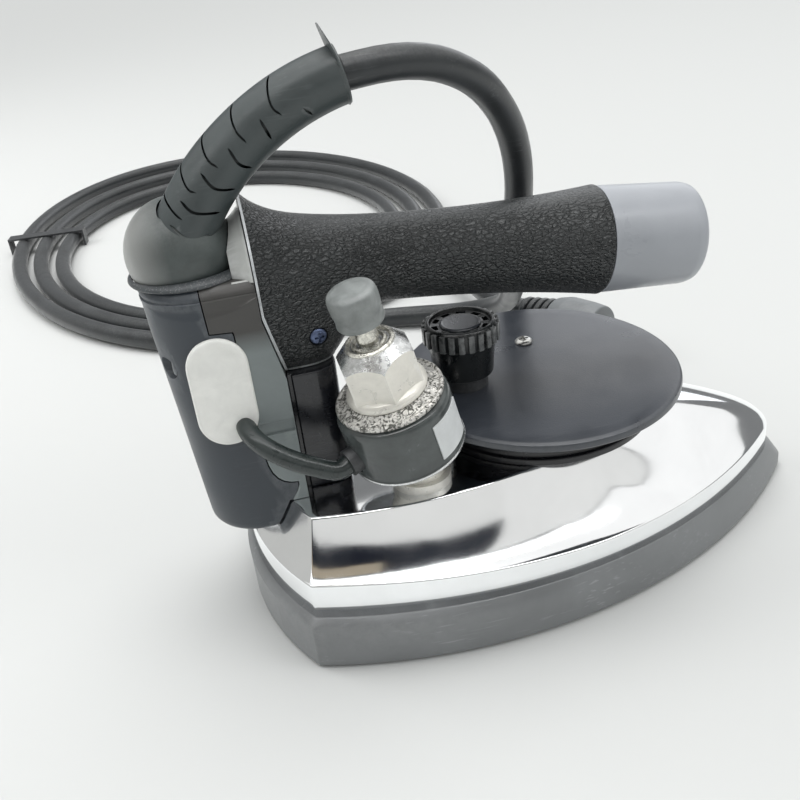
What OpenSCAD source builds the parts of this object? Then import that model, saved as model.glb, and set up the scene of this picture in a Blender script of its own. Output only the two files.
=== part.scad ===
// Gravity feed steam iron. Millimetres, Z up, nose towards +X.
// The origin is the middle of the sole's flat face.

/* [Sole] */
// Length of the sole, heel to nose
sole_length = 205; // [195:1:215]
// Greatest width of the sole
sole_width = 121; // [114:1:124]
// Radius of each long side, seen from above
side_arc_r = 180; // [172:1:185]
// Radius of the bowed heel
heel_arc_r = 94; // [88:1:110]
// Radius of the sole's nose
nose_arc_r = 8; // [6:0.5:10]
// Height of the casting at the heel, floor to cover
casting_h = 19.2; // [18.8:0.2:21]
// Fall of the cover's seat from heel to nose
seat_fall = 5.2; // [3:0.2:5.4]
// Setback of the cover along the sides and heel
ledge_w = 2.5; // [2:0.1:3.5]
// Setback of the cover at the nose
nose_ledge_w = 8.5; // [7:0.5:9]
// Height of the casting's edge at the nose
nose_edge_h = 4.6; // [3:0.2:6]
// Slope of the ledge, drop for each unit of setback
ledge_drop = 1.15; // [0.9:0.05:1.3]
// Thickness of metal under the steam chamber
chamber_floor = 8; // [7:0.5:9]
// Half width of the steam chamber
chamber_half_w = 23; // [18:1:25]
// Length of the steam chamber's straight part
chamber_run = 56; // [50:1:58]
// Diameter of a steam hole
steam_hole_d = 2.6; // [2:0.1:3.2]
// Steam holes along each side row
steam_row = 6; // [4:1:7]
// Height of the lid's underside above the table
lid_z = 15; // [15:0.1:15.4]
// Thickness of the lid on the steam chamber
lid_t = 3; // [2.5:0.25:3.25]
// Thickness of the lid's gasket
gasket_t = 0.6; // [0.4:0.1:0.8]
// Diameter of the heating element
element_d = 8; // [6:0.5:8]
// Spacing of the element's two legs
element_span = 64; // [60:1:66]

/* [Cover] */
// Thickness of the cover's sheet
cover_wall = 1.2; // [0.8:0.1:1.6]
// Upright skirt of the cover at its nose
cover_skirt_h = 9; // [7:0.5:10]
// Rise of the skirt towards the heel
cover_skirt_rise = 3; // [1:0.5:4]
// Height of the cover's flat top above the table
cover_top_z = 46; // [45:0.5:47]
// Width of the cover's flat top
platform_w = 80; // [78:1:84]
// Nose of the cover's flat top, from the middle of the sole
platform_nose_x = 44; // [42:1:48]
// How hollow the cover's sides are, 1 is straight
cover_hollow = 1.4; // [1.2:0.1:1.6]
// How full the cover's nose is, 1 is straight
cover_nose_bulge = 0.72; // [0.6:0.04:1]

/* [Heat shield] */
// Radius of the insulating block
block_r = 37; // [34:0.5:39]
// Height of the insulating block
block_h = 12.5; // [10:0.5:15]
// Length of the heat shield
shield_length = 95; // [88:1:98]
// Width of the heat shield
shield_width = 101; // [92:1:106]
// Thickness of the heat shield
shield_t = 3; // [2:0.5:4]
// Middle of the block and shield, from the middle of the sole
shield_x = 6; // [4:0.5:8]

/* [Thermostat knob] */
// Radius of the knob's toothed rim
knob_r = 13; // [12:0.25:13.5]
// Height of the knob
knob_h = 18.5; // [16:0.5:19]
// Teeth around the rim
knob_teeth = 24; // [18:1:30]
// Place of the knob, from the middle of the sole
knob_x = -20; // [-21:0.5:-17]
// Windows in the dial ring
dial_windows = 10; // [6:1:12]
// Radius of the spindle
spindle_r = 3; // [2.5:0.25:3.5]

/* [Handle] */
// Height of the handle's axis at its root
handle_root_z = 115; // [114:0.5:118]
// Slope of the handle, down towards its end
handle_slope = 6; // [4:0.5:6]
// Length of the rubber grip
grip_length = 107.5; // [100:0.5:112]
// Radius of the grip at its waist
grip_waist_r = 13.4; // [13:0.2:14.4]
// Radius of the grip where it meets the end cap
grip_front_r = 17.7; // [17:0.1:18.5]
// Length of the end cap
cap_length = 33.5; // [28:0.5:36]
// Radius of the end cap's face
cap_face_r = 16.7; // [15.5:0.1:17]
// Radius of the steel core tube
core_r = 8; // [7:0.25:9]

/* [Rear column] */
// Back of the column at its foot
column_back_x = -111; // [-113:0.5:-110]
// Backward lean of the column
column_lean = 4.5; // [3:0.5:5]
// Width of the column at its foot
column_foot_w = 50; // [47:0.5:51]
// Width of the column at its top
column_top_w = 41; // [40:0.5:42]
// Height of the column's foot above the table
column_foot_z = 37.5; // [36:0.5:38.5]
// Height of the column's top
column_top_z = 118; // [117:0.5:119]
// Thickness of the moulded walls
column_wall = 2.5; // [2:0.25:3]
// Radius of the cord boot's ball
boot_r = 16.2; // [15:0.2:16.4]
// Length of the oval pad on the column's side
pad_length = 34; // [28:0.5:36]
// Width of the oval pad
pad_width = 18; // [14:0.5:19]

/* [Steam valve] */
// Radius of the coil's housing
valve_r = 18; // [17:0.25:18.25]
// Height of the coil's housing
valve_h = 20; // [18:0.5:21]
// Backward lean of the valve
valve_lean = 12.5; // [10:0.5:13]
// Outward lean of the valve
valve_splay = 6; // [4:0.5:8]
// Size of the hexagon across its flats
hex_af = 21; // [19:0.5:22]
// Height of the hexagon
hex_h = 12; // [11:0.5:12.5]
// Lift of the valve's plunger
plunger_lift = 2.5; // [1.5:0.1:3]
// Radius of the water inlet's bore
inlet_bore_r = 2.2; // [1.6:0.1:2.6]
// Radius of the solenoid's lead
lead_r = 3; // [2.5:0.1:3.1]

/* [Steam button] */
// Radius of the thumb button
button_r = 6; // [5:0.25:6]
// Travel of the thumb button
button_travel = 3; // [2:0.25:3.5]
// Travel of the switch plunger
switch_travel = 1.2; // [0.8:0.1:1.5]

/* [Mains cord] */
// Diameter of the cord
cord_d = 10.3; // [8.5:0.1:10.6]
// Radius of the strain relief at its root
relief_root_r = 8.8; // [8.4:0.1:10.4]
// Radius of the strain relief at its tip
relief_tip_r = 8.1; // [7.8:0.1:9.2]
// Slots along the strain relief
relief_slots = 11; // [7:1:12]
// Turns of the cord's coil
coil_turns = 2.75; // [1.75:1:2.75]

/* [Hidden] */
$fn = 64;
e = 0.01;
fit = 0.3;
snug = 0.05;

// Levels, from the table up
lid_top_z = lid_z + lid_t;
shield_z = cover_top_z + block_h;
deck_z = shield_z + shield_t;
bushing_h = 4.5;
knob_z = deck_z + bushing_h + fit;

// An outline of three arcs a side, from the nose round to the heel and back.
// nx, ns and nh are the steps on the nose, side and heel arcs.
nx = 5;
ns = 16;
nh = 6;
function nose_mid(tip, rn) = tip - rn;
function side_mid_x(tip, w, R, rn) = nose_mid(tip, rn) - sqrt(pow(R - rn, 2) - pow(R - w / 2, 2));
function corner_y(tip, w, R, rn, heel, rh, lo = 1, hi = 200, k = 0) =
    let (y = (lo + hi) / 2,
         xh = heel + rh - sqrt(max(0, rh * rh - y * y)),
         ys = side_y(tip, w, R, rn, xh))
    k > 30 ? y : (y < ys ? corner_y(tip, w, R, rn, heel, rh, y, hi, k + 1)
                         : corner_y(tip, w, R, rn, heel, rh, lo, y, k + 1));
function side_y(tip, w, R, rn, x) =
    w / 2 - R + sqrt(max(0, R * R - pow(x - side_mid_x(tip, w, R, rn), 2)));
function half_outline(tip, w, R, rn, heel, rh) =
    let (xs = side_mid_x(tip, w, R, rn), xn = nose_mid(tip, rn), ys = w / 2 - R,
         yc = corner_y(tip, w, R, rn, heel, rh), xc = heel + rh - sqrt(rh * rh - yc * yc),
         a0 = atan2(-ys, xn - xs), a1 = atan2(yc - ys, xc - xs),
         ac = atan2(yc, xc - heel - rh))
    concat([for (i = [0 : nx - 1]) [xn + rn * cos(a0 * i / nx), rn * sin(a0 * i / nx)]],
           [for (i = [0 : ns - 1]) let (a = a0 + (a1 - a0) * i / ns)
               [xs + R * cos(a), ys + R * sin(a)]],
           [for (i = [0 : nh]) let (a = ac + (180 - ac) * i / nh)
               [heel + rh + rh * cos(a), rh * sin(a)]]);
function outline(tip, w, R, rn, heel, rh) =
    let (h = half_outline(tip, w, R, rn, heel, rh), n = len(h))
    concat(h, [for (i = [n - 2 : -1 : 1]) [h[i][0], -h[i][1]]]);
function seat_z(x) = casting_h - seat_fall * (x / sole_length + 0.5);
function seated(ring, dz) = [for (p = ring) [p[0], p[1], seat_z(p[0]) + dz]];
function sole_outline(inset) =
    outline(sole_length / 2 - inset, sole_width - 2 * inset, side_arc_r - inset,
            nose_arc_r - inset, inset - sole_length / 2, heel_arc_r - inset);
cover_nose_r = 17;
function cover_outline(inset) =
    outline(sole_length / 2 - nose_ledge_w - inset, sole_width - 2 * ledge_w - 2 * inset,
            side_arc_r - ledge_w - inset, cover_nose_r - inset,
            ledge_w + inset - sole_length / 2, heel_arc_r - ledge_w - inset);
// Half width of the cover's outline at x
function cover_half(x, inset) =
    side_y(sole_length / 2 - nose_ledge_w - inset, sole_width - 2 * ledge_w - 2 * inset,
           side_arc_r - ledge_w - inset, cover_nose_r - inset, x);
platform_back_x = 13 - sole_length / 2;
function platform_outline(inset) =
    outline(platform_nose_x - inset, platform_w - 2 * inset, 150 - inset, 20 - inset,
            platform_back_x + inset, 80 - inset);

// Solids through rings of points, each ring counter-clockwise seen from its end
module loft(rings) {
    n = len(rings[0]);
    m = len(rings);
    polyhedron(
        points = [for (r = rings) for (p = r) p],
        faces = concat(
            [[for (j = [0 : n - 1]) j]],
            [for (i = [0 : m - 2]) for (j = [0 : n - 1])
                [i * n + j, (i + 1) * n + j, (i + 1) * n + (j + 1) % n]],
            [for (i = [0 : m - 2]) for (j = [0 : n - 1])
                [i * n + j, (i + 1) * n + (j + 1) % n, i * n + (j + 1) % n]],
            [[for (j = [n - 1 : -1 : 0]) (m - 1) * n + j]]),
        convexity = 6);
}
function unit(v) = v / norm(v);
function lift(ring, z) = [for (p = ring) [p[0], p[1], z]];
function way(P, i) = unit(P[min(i + 1, len(P) - 1)] - P[max(i - 1, 0)]);
// A frame carried along the route without twisting
function carried(P, n0, i = 0, done = []) =
    i == len(P) ? done
    : let (t = way(P, i), n = unit(n0 - t * (n0 * t)))
      carried(P, n, i + 1, concat(done, [n]));
function tube_rings(P, radii, n0, sides) =
    let (N = carried(P, n0))
    [for (i = [0 : len(P) - 1])
        let (t = way(P, i), a = N[i], b = cross(t, a))
        [for (k = [0 : sides - 1]) P[i] + radii[i] * (cos(360 * k / sides) * a + sin(360 * k / sides) * b)]];
module tube(P, r, n0, sides) {
    loft(tube_rings(P, [for (p = P) r], n0, sides));
}

// Shapes used more than once
module screw(head_r, head_h, shank_r, shank_l) {
    difference() {
        cylinder(r = head_r, h = head_h);
        translate([0, 0, head_h - 0.8]) cylinder(r = head_r * 0.42, h = 1, $fn = 6);
    }
    translate([0, 0, -shank_l]) cylinder(r = shank_r, h = shank_l + e);
}
module annulus(r_out, r_in, h) {
    difference() {
        cylinder(r = r_out, h = h);
        translate([0, 0, -1]) cylinder(r = r_in, h = h + 2);
    }
}

// Sole and heating
module casting_form() {
    o = sole_outline(0);
    c = cover_outline(-snug);
    b = sole_outline(0.8);
    n = len(o);
    drop = [for (i = [0 : n - 1]) min(seat_z(c[i][0]) - nose_edge_h, ledge_drop * norm(o[i] - c[i]))];
    loft([lift(b, 0), lift(o, 1),
        [for (i = [0 : n - 1]) [o[i][0], o[i][1], seat_z(c[i][0]) - drop[i]]],
        [for (i = [0 : n - 1]) [0.45 * o[i][0] + 0.55 * c[i][0], 0.45 * o[i][1] + 0.55 * c[i][1],
            seat_z(c[i][0]) - 0.32 * drop[i]]],
        seated(c, 0)]);
}
element_z = 9;
element_mid_x = 12;
element_back_x = -66;
element_post_z = lid_top_z + 16;
module element_form(grow) {
    r = element_d / 2 + grow;
    s = element_span / 2;
    translate([element_mid_x, 0, element_z]) rotate([0, 0, -90])
        rotate_extrude(angle = 180) translate([s, 0]) circle(r);
    for (y = [-s, s]) {
        translate([element_back_x, y, element_z]) rotate([0, 90, 0])
            cylinder(r = r, h = element_mid_x - element_back_x + e);
        translate([element_back_x, y, element_z]) sphere(r);
    }
}
module element_posts(grow) {
    for (y = [-element_span / 2, element_span / 2])
        translate([element_back_x, y, element_z])
            cylinder(r = element_d / 2 + grow, h = element_post_z - element_z);
}
lid_inset = 10;
lid_screw_edge = 5;
lid_screw_places = concat([[62, 0]],
    [for (x = [47, 2, -48]) for (s = [-1, 1]) [x, s * (cover_half(x, lid_inset) - lid_screw_edge)]]);
lid_screw_bite = 8;
lid_screw_l = lid_t + lid_screw_bite;
chamber_mid_x = -14;
module chamber_plan(grow) {
    translate([chamber_mid_x, 0]) {
        translate([-chamber_run / 2, 0]) circle(chamber_half_w + grow);
        translate([chamber_run / 2, 0]) circle(chamber_half_w + grow);
        square([chamber_run, 2 * (chamber_half_w + grow)], center = true);
    }
}
steam_row_pitch = 11;
steam_arc_r = 17;
module steam_holes() {
    front = chamber_mid_x + chamber_run / 2;
    for (i = [0 : steam_row - 1]) for (y = [-steam_arc_r, steam_arc_r])
        translate([front - steam_row_pitch * i, y, -1]) cylinder(d = steam_hole_d, h = chamber_floor + 2);
    for (a = [-60 : 30 : 60])
        translate([front + steam_arc_r * cos(a), steam_arc_r * sin(a), -1])
            cylinder(d = steam_hole_d, h = chamber_floor + 2);
}
module soleplate() {
    color("#8d9092") difference() {
        casting_form();
        translate([0, 0, chamber_floor]) linear_extrude(casting_h) chamber_plan(0);
        translate([0, 0, lid_z - gasket_t]) linear_extrude(casting_h)
            polygon(cover_outline(lid_inset - fit));
        element_form(snug);
        element_posts(snug);
        steam_holes();
        for (p = lid_screw_places) translate([p[0], p[1], lid_z - lid_screw_bite - 1])
            cylinder(r = 2 + snug, h = casting_h);
    }
}
module heating_element() {
    color("#6f6a63") {
        element_form(0);
        element_posts(0);
    }
}
module lid_piercings(grow) {
    for (p = lid_screw_places) translate([p[0], p[1], -casting_h]) cylinder(r = 2 + grow, h = 4 * casting_h);
    for (y = [-element_span / 2, element_span / 2])
        translate([element_back_x, y, -casting_h]) cylinder(r = element_d / 2 + grow, h = 4 * casting_h);
}
module chamber_gasket() {
    color("#d8d2c0") difference() {
        translate([0, 0, lid_z - gasket_t]) linear_extrude(gasket_t) difference() {
            polygon(cover_outline(lid_inset));
            chamber_plan(0.5);
        }
        lid_piercings(0.2);
    }
}
shield_screw_places = [[8.5, 20], [-31, -14]];
column_screw_places = [[-72.5, 11], [-72.5, -11]];
post_r = 5;
post_bore = 12;
module chamber_lid() {
    post_top = cover_top_z - cover_wall;
    color("#a3a5a6") difference() {
        union() {
            translate([0, 0, lid_z]) linear_extrude(lid_t) polygon(cover_outline(lid_inset));
            for (p = concat(shield_screw_places, column_screw_places))
                translate([p[0], p[1], lid_z]) cylinder(r = post_r, h = post_top - lid_z);
        }
        lid_piercings(0.2);
        for (p = concat(shield_screw_places, column_screw_places))
            translate([p[0], p[1], post_top - post_bore]) cylinder(r = 2 + snug, h = 2 * post_bore);
        translate([inlet_tube_x, inlet_tube_y, 0]) cylinder(r = inlet_tube_r + snug, h = cover_top_z);
    }
}
module lid_screws() {
    color("#b9b9b4") for (p = lid_screw_places)
        translate([p[0], p[1], lid_top_z]) screw(3.6, 2.4, 2, lid_screw_l);
}
thermostat_h = 15;
module thermostat_body() {
    color("#c9c4b6") translate([knob_x, 0, lid_top_z]) difference() {
        union() {
            cylinder(r = 11, h = thermostat_h);
            translate([-5.5, -14, 0]) cube([11, 28, 2.5]);
            for (y = [-9, 9]) translate([-3, y - 1.5, thermostat_h - e]) cube([6, 3, 5]);
        }
        translate([0, 0, thermostat_h - 6]) cylinder(r = spindle_r + fit, h = 10);
    }
}
module thermal_cutout() {
    color("#d6d6d2") translate([28, 0, lid_top_z]) {
        cylinder(r = 8, h = 6);
        translate([-12, -3.5, 0]) cube([24, 7, 1.2]);
        for (y = [-4, 4]) translate([-1, y - 0.5, 6 - e]) cube([6, 1, 5]);
    }
}

// Cover, insulating block and heat shield
function skirt_h(x) = cover_skirt_h + cover_skirt_rise * min(1, max(0, (10 - x) / 80));
function hollow_at(x) = x > 40 ? cover_hollow - (cover_hollow - cover_nose_bulge) * (x - 40) / 54
    : cover_hollow - 0.2 * min(1, max(0, (-40 - x) / 40));
// Rings of the cover, from below its foot by dz to its flat top
function cover_rings(inset, dz, top) =
    let (b = cover_outline(inset), t = platform_outline(inset), n = len(b))
    concat([seated(b, dz)], [for (k = [0 : 8]) let (s = k / 8)
        [for (i = [0 : n - 1]) let (q = b[i] + (t[i] - b[i]) * s, z0 = seat_z(b[i][0]) + skirt_h(b[i][0]))
            [q[0], q[1], z0 + (top - z0) * pow(s, hollow_at(b[i][0]))]]]);
module cover_solid(inset, dz, top) {
    loft(cover_rings(inset, dz, top));
}
module cover_shell() {
    color("#dfe2e4") difference() {
        cover_solid(0, 0, cover_top_z);
        cover_solid(cover_wall, -1, cover_top_z - cover_wall);
        translate([knob_x, 0, cover_top_z - 5]) cylinder(r = 5, h = 10);
        for (p = concat(shield_screw_places, column_screw_places))
            translate([p[0], p[1], cover_top_z - 5]) cylinder(r = 2.3, h = 10);
        translate([inlet_tube_x, inlet_tube_y, cover_top_z - 5]) cylinder(r = inlet_tube_r + 0.2, h = 10);
        translate([-76, 0, cover_top_z - 5]) cylinder(r = 5, h = 10);
    }
}
module insulating_block() {
    color("#17191b") difference() {
        translate([shield_x, 0, cover_top_z]) union() {
            cylinder(r = block_r, h = block_h);
            cylinder(r = block_r + 1.5, h = 2.5);
        }
        translate([knob_x, 0, cover_top_z - 1]) cylinder(r = spindle_r + 1, h = block_h + 2);
        for (p = shield_screw_places)
            translate([p[0], p[1], cover_top_z - 1]) cylinder(r = 2.3, h = block_h + 2);
    }
}
module heat_shield() {
    color("#20252c") difference() {
        translate([0, 0, shield_z]) linear_extrude(shield_t) difference() {
            polygon([for (a = [0 : 3.75 : 356.25])
                [shield_x + shield_length / 2 * cos(a), shield_width / 2 * sin(a)]]);
            translate([knob_x, 0]) circle(spindle_r + 1);
            for (p = shield_screw_places) translate([p[0], p[1]]) circle(2.3);
        }
    }
}
module shield_screws() {
    color("#30343a") for (p = shield_screw_places)
        translate([p[0], p[1], deck_z]) screw(3.2, 1.8, 2, shield_t + block_h + 9);
}

// Thermostat knob
module knob_bushing() {
    color("#24282d") translate([knob_x, 0, deck_z])
        annulus(8, spindle_r + fit, bushing_h);
}
knob_rim_h = 7;
module thermostat_knob() {
    dial_r = knob_r - 2.6;
    color("#1b1d1f") translate([knob_x, 0, knob_z]) difference() {
        union() {
            cylinder(r1 = knob_r - 3, r2 = knob_r - 1.2, h = knob_h - knob_rim_h + e);
            translate([0, 0, knob_h - knob_rim_h]) cylinder(r = knob_r - 1, h = knob_rim_h);
            for (k = [0 : knob_teeth - 1]) rotate([0, 0, 360 * k / knob_teeth])
                translate([knob_r - 1.6, -0.45 * knob_r * sin(180 / knob_teeth) * 2, knob_h - knob_rim_h])
                    cube([1.6, 0.9 * knob_r * sin(180 / knob_teeth) * 2 * 0.6, knob_rim_h - 1]);
        }
        translate([0, 0, knob_h - 1.6]) cylinder(r = dial_r, h = 3);
        for (k = [0 : dial_windows - 1]) rotate([0, 0, 360 * k / dial_windows])
            translate([dial_r - 3, -1.6, knob_h - 2.6]) cube([2.4, 3.2, 2]);
        translate([0, 0, -1]) cylinder(r = spindle_r + snug, h = knob_h - 4);
    }
}
module dial_disc() {
    color("#2d3135") translate([knob_x, 0, knob_z + knob_h - 1.6])
        cylinder(r = knob_r - 6.2, h = 0.8);
}
module thermostat_spindle() {
    foot = lid_top_z + thermostat_h - 5;
    color("#a9a391") translate([knob_x, 0, foot])
        cylinder(r = spindle_r, h = knob_z + knob_h - 5 - foot);
}

// Rear column
column_front_x = -64;
split_rear_x = -88.3;
split_front_x = -80;
seam = 0.3;
module column_body(inset) {
    d = split_front_x - column_back_x + 20;
    h = column_top_z - column_foot_z;
    w0 = column_foot_w / 2 - inset;
    w1 = column_top_w / 2 - inset;
    back = column_back_x + inset;
    corner = 17 - inset;
    intersection() {
        translate([back, 0, column_foot_z]) rotate([0, -column_lean, 0]) translate([0, 0, -20])
            linear_extrude(h + 40) union() {
                translate([corner, 0]) square([d + 40, 2 * w0 + 2]);
                translate([corner, -w0 - 1]) square([d + 40, 2 * w0 + 2]);
                for (s = [-1, 1]) translate([corner, s * (w0 + 0.5 - corner)]) circle(corner);
                translate([0, corner - w0]) square([corner + 1, 2 * (w0 - corner)]);
            }
        translate([-140, 0, 0]) rotate([90, 0, 90]) linear_extrude(76)
            polygon([[-w0, column_foot_z + inset], [w0, column_foot_z + inset],
                [w1 + 0.3, column_top_z - 6], [w1 - 2.5, column_top_z - inset],
                [2.5 - w1, column_top_z - inset], [-w1 - 0.3, column_top_z - 6]]);
    }
}
module slab(x0, x1, z0, z1) {
    translate([x0, -60, z0]) cube([x1 - x0, 120, z1 - z0]);
}
// Lines of the two seams seen from the side, from the head down, as points (x, z)
head_seam_x = -100;
sky_z = column_top_z + 60;
rear_seam_line = [
    [head_seam_x, sky_z], [head_seam_x, column_top_z], [head_seam_x + 0.5, column_top_z - 13],
    [-92.7, column_top_z - 13.6], [-91.3, cover_top_z + 26.7], [-91.1, cover_top_z + 17.3],
    [-89.8, cover_top_z + 10.6], [-86.7, cover_top_z + 7.2], [-82.6, cover_top_z + 6.1],
    [-82.6, cover_top_z + 4.5], [-85, cover_top_z + 0.8], [-87.5, column_foot_z + 4],
    [-91, column_foot_z + 1.1], [-95, column_foot_z - 0.2], [-140, column_foot_z - 0.2]];
grip_back_x = -84;
front_step_z = 87;
front_seam_line = [
    [grip_back_x, sky_z], [grip_back_x, handle_root_z - 9], [split_front_x, front_step_z],
    [split_front_x, 0], [-140, 0]];
module behind(line, shift) {
    translate([shift, 60, shift]) rotate([90, 0, 0]) linear_extrude(120)
        polygon(concat([[-140, sky_z]], line));
}
module cover_clearance() {
    translate([0, 0, fit]) cover_solid(-0.4, -1, cover_top_z);
    translate([-200, -80, -1]) cube([400, 160, 2]);
}
module boot_hole() {
    translate([boot_x, 0, column_top_z - 6]) cylinder(r = boot_r - 5, h = 20);
}
module column_rear() {
    color("#4a4f54") difference() {
        union() {
            intersection() {
                difference() {
                    column_body(0);
                    column_body(column_wall);
                }
                behind(rear_seam_line, 0);
            }
            for (p = rear_screw_places) translate([rear_seat(p) - 1, p[0], p[1]])
                rotate([0, 90, 0]) cylinder(r = 4.6, h = split_rear_x - rear_seat(p) + 1);
        }
        cover_clearance();
        boot_hole();
        for (p = rear_screw_places) translate([rear_seat(p), p[0], p[1]]) {
            rotate([0, 90, 0]) cylinder(r = 1.8, h = 60);
            rotate([0, -90, 0]) cylinder(r = 3.5, h = 20);
        }
        pad_recess();
        lead_hole();
    }
}
panel_z = cover_top_z + 7;
rear_post_l = 5;
// Flange of the frame that stands up behind the grip, cupped round the cord boot
flange_l = 5.7;
flange_r = 18.8;
module head_flange() {
    difference() {
        intersection() {
            translate([grip_back_x - flange_l, 0, handle_root_z]) rotate([0, 90, 0])
                cylinder(r1 = flange_r - 4.5, r2 = flange_r, h = flange_l);
            slab(-140, 0, column_top_z - column_wall, sky_z);
        }
        boot_ball(snug);
    }
}
module column_middle() {
    color("#565c61") difference() {
        union() {
            intersection() {
                difference() {
                    column_body(0);
                    column_body(column_wall);
                    behind(rear_seam_line, seam);
                }
                behind(front_seam_line, 0);
                slab(-140, split_front_x, cover_top_z + fit, 200);
            }
            difference() {
                intersection() {
                    column_body(0.5);
                    slab(split_rear_x + seam, split_rear_x + seam + column_wall, panel_z, column_top_z);
                }
                behind(rear_seam_line, seam);
            }
            intersection() {
                column_body(column_wall + snug);
                slab(split_rear_x + seam, split_rear_x + seam + column_wall, cover_top_z - 2, panel_z + 1);
            }
            head_flange();
            for (p = rear_screw_places) translate([split_rear_x + seam, p[0], p[1]]) rotate([0, 90, 0])
                cylinder(r = 4, h = rear_post_l);
        }
        cover_clearance();
        for (p = rear_screw_places) translate([-130, p[0], p[1]]) rotate([0, 90, 0])
            cylinder(r = 1.5 + snug, h = 60);
        for (z = [cover_top_z + 14, column_top_z - 18])
            translate([split_rear_x - 1, 0, z]) rotate([0, 90, 0]) cylinder(r = 5, h = 6);
        boot_hole();
        pad_recess();
        lead_hole();
    }
}
front_half_w = 20;
tongue_rise = 8;
tongue_w = 26;
tongue_t = 6;
tongue_x = split_front_x + seam + tongue_t;
core_reach = 22;
front_top_z = handle_root_z + tongue_rise;
front_corner = 7;
front_run = column_front_x - split_front_x - seam;
module column_front_plan(inset) {
    r = front_corner - inset;
    translate([split_front_x + seam, 0]) {
        translate([0, inset - front_half_w])
            square([front_run - front_corner + seam, 2 * (front_half_w - inset)]);
        translate([0, front_corner - front_half_w])
            square([front_run - inset, 2 * (front_half_w - front_corner)]);
        for (s = [-1, 1]) translate([front_run - front_corner, s * (front_half_w - front_corner)]) circle(r);
    }
}
module at_handle() {
    translate([split_front_x, 0, handle_root_z]) rotate([0, 90 + handle_slope, 0]) children();
}
module column_front() {
    color("#15171a") difference() {
        union() {
            translate([0, 0, cover_top_z + fit / 3])
                linear_extrude(front_step_z - cover_top_z - 0.3) column_front_plan(0);
            difference() {
                translate([grip_back_x, -tongue_w / 2, front_step_z - 1])
                    cube([tongue_x - grip_back_x, tongue_w, front_top_z - front_step_z]);
                behind(front_seam_line, seam);
            }
            intersection() {
                at_handle() cylinder(r = core_r + 2, h = core_reach);
                slab(split_front_x + seam, 0, 0, 300);
            }
        }
        translate([0, 0, cover_top_z + 4]) linear_extrude(front_step_z - cover_top_z - 8) intersection() {
            column_front_plan(column_wall);
            translate([split_front_x + seam + column_wall, -column_foot_w]) square(2 * column_foot_w);
        }
        at_handle() translate([0, 0, -2 * core_reach]) cylinder(r = core_r + snug, h = 4 * core_reach);
        for (p = column_screw_places) translate([p[0], p[1], 0]) cylinder(r = 2.3, h = 80);
        button_bore();
    }
}
module column_screws() {
    color("#b9b9b4") for (p = column_screw_places)
        translate([p[0], p[1], cover_top_z + 4]) screw(3.4, 2.4, 2, 13);
}
rear_screw_rise = 14.5;
rear_screw_drop = 24;
rear_screw_side = 13;
rear_screw_places = [[0, column_foot_z + rear_screw_rise],
    [rear_screw_side, column_top_z - rear_screw_drop], [-rear_screw_side, column_top_z - rear_screw_drop]];
// Seat of each rear screw's head, below the outer face
function rear_seat(p) = column_back_x - (p[1] - column_foot_z) * tan(column_lean) + (p[0] == 0 ? 2.4 : 5);
module rear_screws() {
    color("#2b2e31") for (p = rear_screw_places) translate([rear_seat(p), p[0], p[1]])
        rotate([0, -90, 0]) screw(3.1, 1.6, 1.5, split_rear_x + seam + rear_post_l - 0.5 - rear_seat(p));
}

// Oval pad on the near side of the column
pad_z = 87;
pad_x = -99;
pad_t = 1.2;
side_lean = atan((column_foot_w - column_top_w) / 2 / (column_top_z - 6 - column_foot_z));
module at_pad() {
    y = -(column_foot_w / 2 - (pad_z - column_foot_z) * tan(side_lean));
    translate([pad_x, y, pad_z]) rotate([90 - side_lean, 0, 0]) children();
}
module pad_plan(grow) {
    w = pad_width / 2 + grow;
    l = pad_length / 2 + grow;
    for (s = [-1, 1]) translate([0, s * (l - w)]) circle(w);
    square([2 * w, 2 * (l - w)], center = true);
}
module pad_recess() {
    at_pad() translate([0, 0, -0.6]) linear_extrude(3) pad_plan(0.1);
}
module oval_pad() {
    color("#d9dad6") difference() {
        at_pad() translate([0, 0, -0.6]) linear_extrude(0.6 + pad_t) pad_plan(0);
        lead_hole();
    }
}
module lead_hole() {
    translate([lead_route[0][0], -45, lead_route[0][2]]) rotate([-90, 0, 0])
        cylinder(r = lead_r + 0.1, h = 30);
}

// Wiring inside the column
terminal_z = cover_top_z + 11;
terminal_h = 16;
module terminal_block() {
    color("#e6e2d6") translate([split_rear_x + seam - 12, -14, terminal_z]) difference() {
        cube([12, 28, terminal_h]);
        for (y = [5, 14, 23]) {
            translate([6, y, 8]) cylinder(r = 1.9, h = 10);
            translate([6, y, -1]) cylinder(r = 2.2, h = 6);
        }
    }
}
clamp_z = column_top_z - 17;
clamp_h = 7;
clamp_w = 26;
boot_x = -101;
module cord_clamp() {
    color("#24272a") difference() {
        translate([boot_x - 8, -clamp_w / 2, clamp_z])
            cube([split_rear_x + seam - boot_x + 8, clamp_w, clamp_h]);
        translate([boot_x, 0, clamp_z - 1]) cylinder(r = cord_d / 2 + snug, h = clamp_h + 2);
    }
}
cord_r = cord_d / 2;

// Cord boot and strain relief
collar_r = 18.5;
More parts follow.
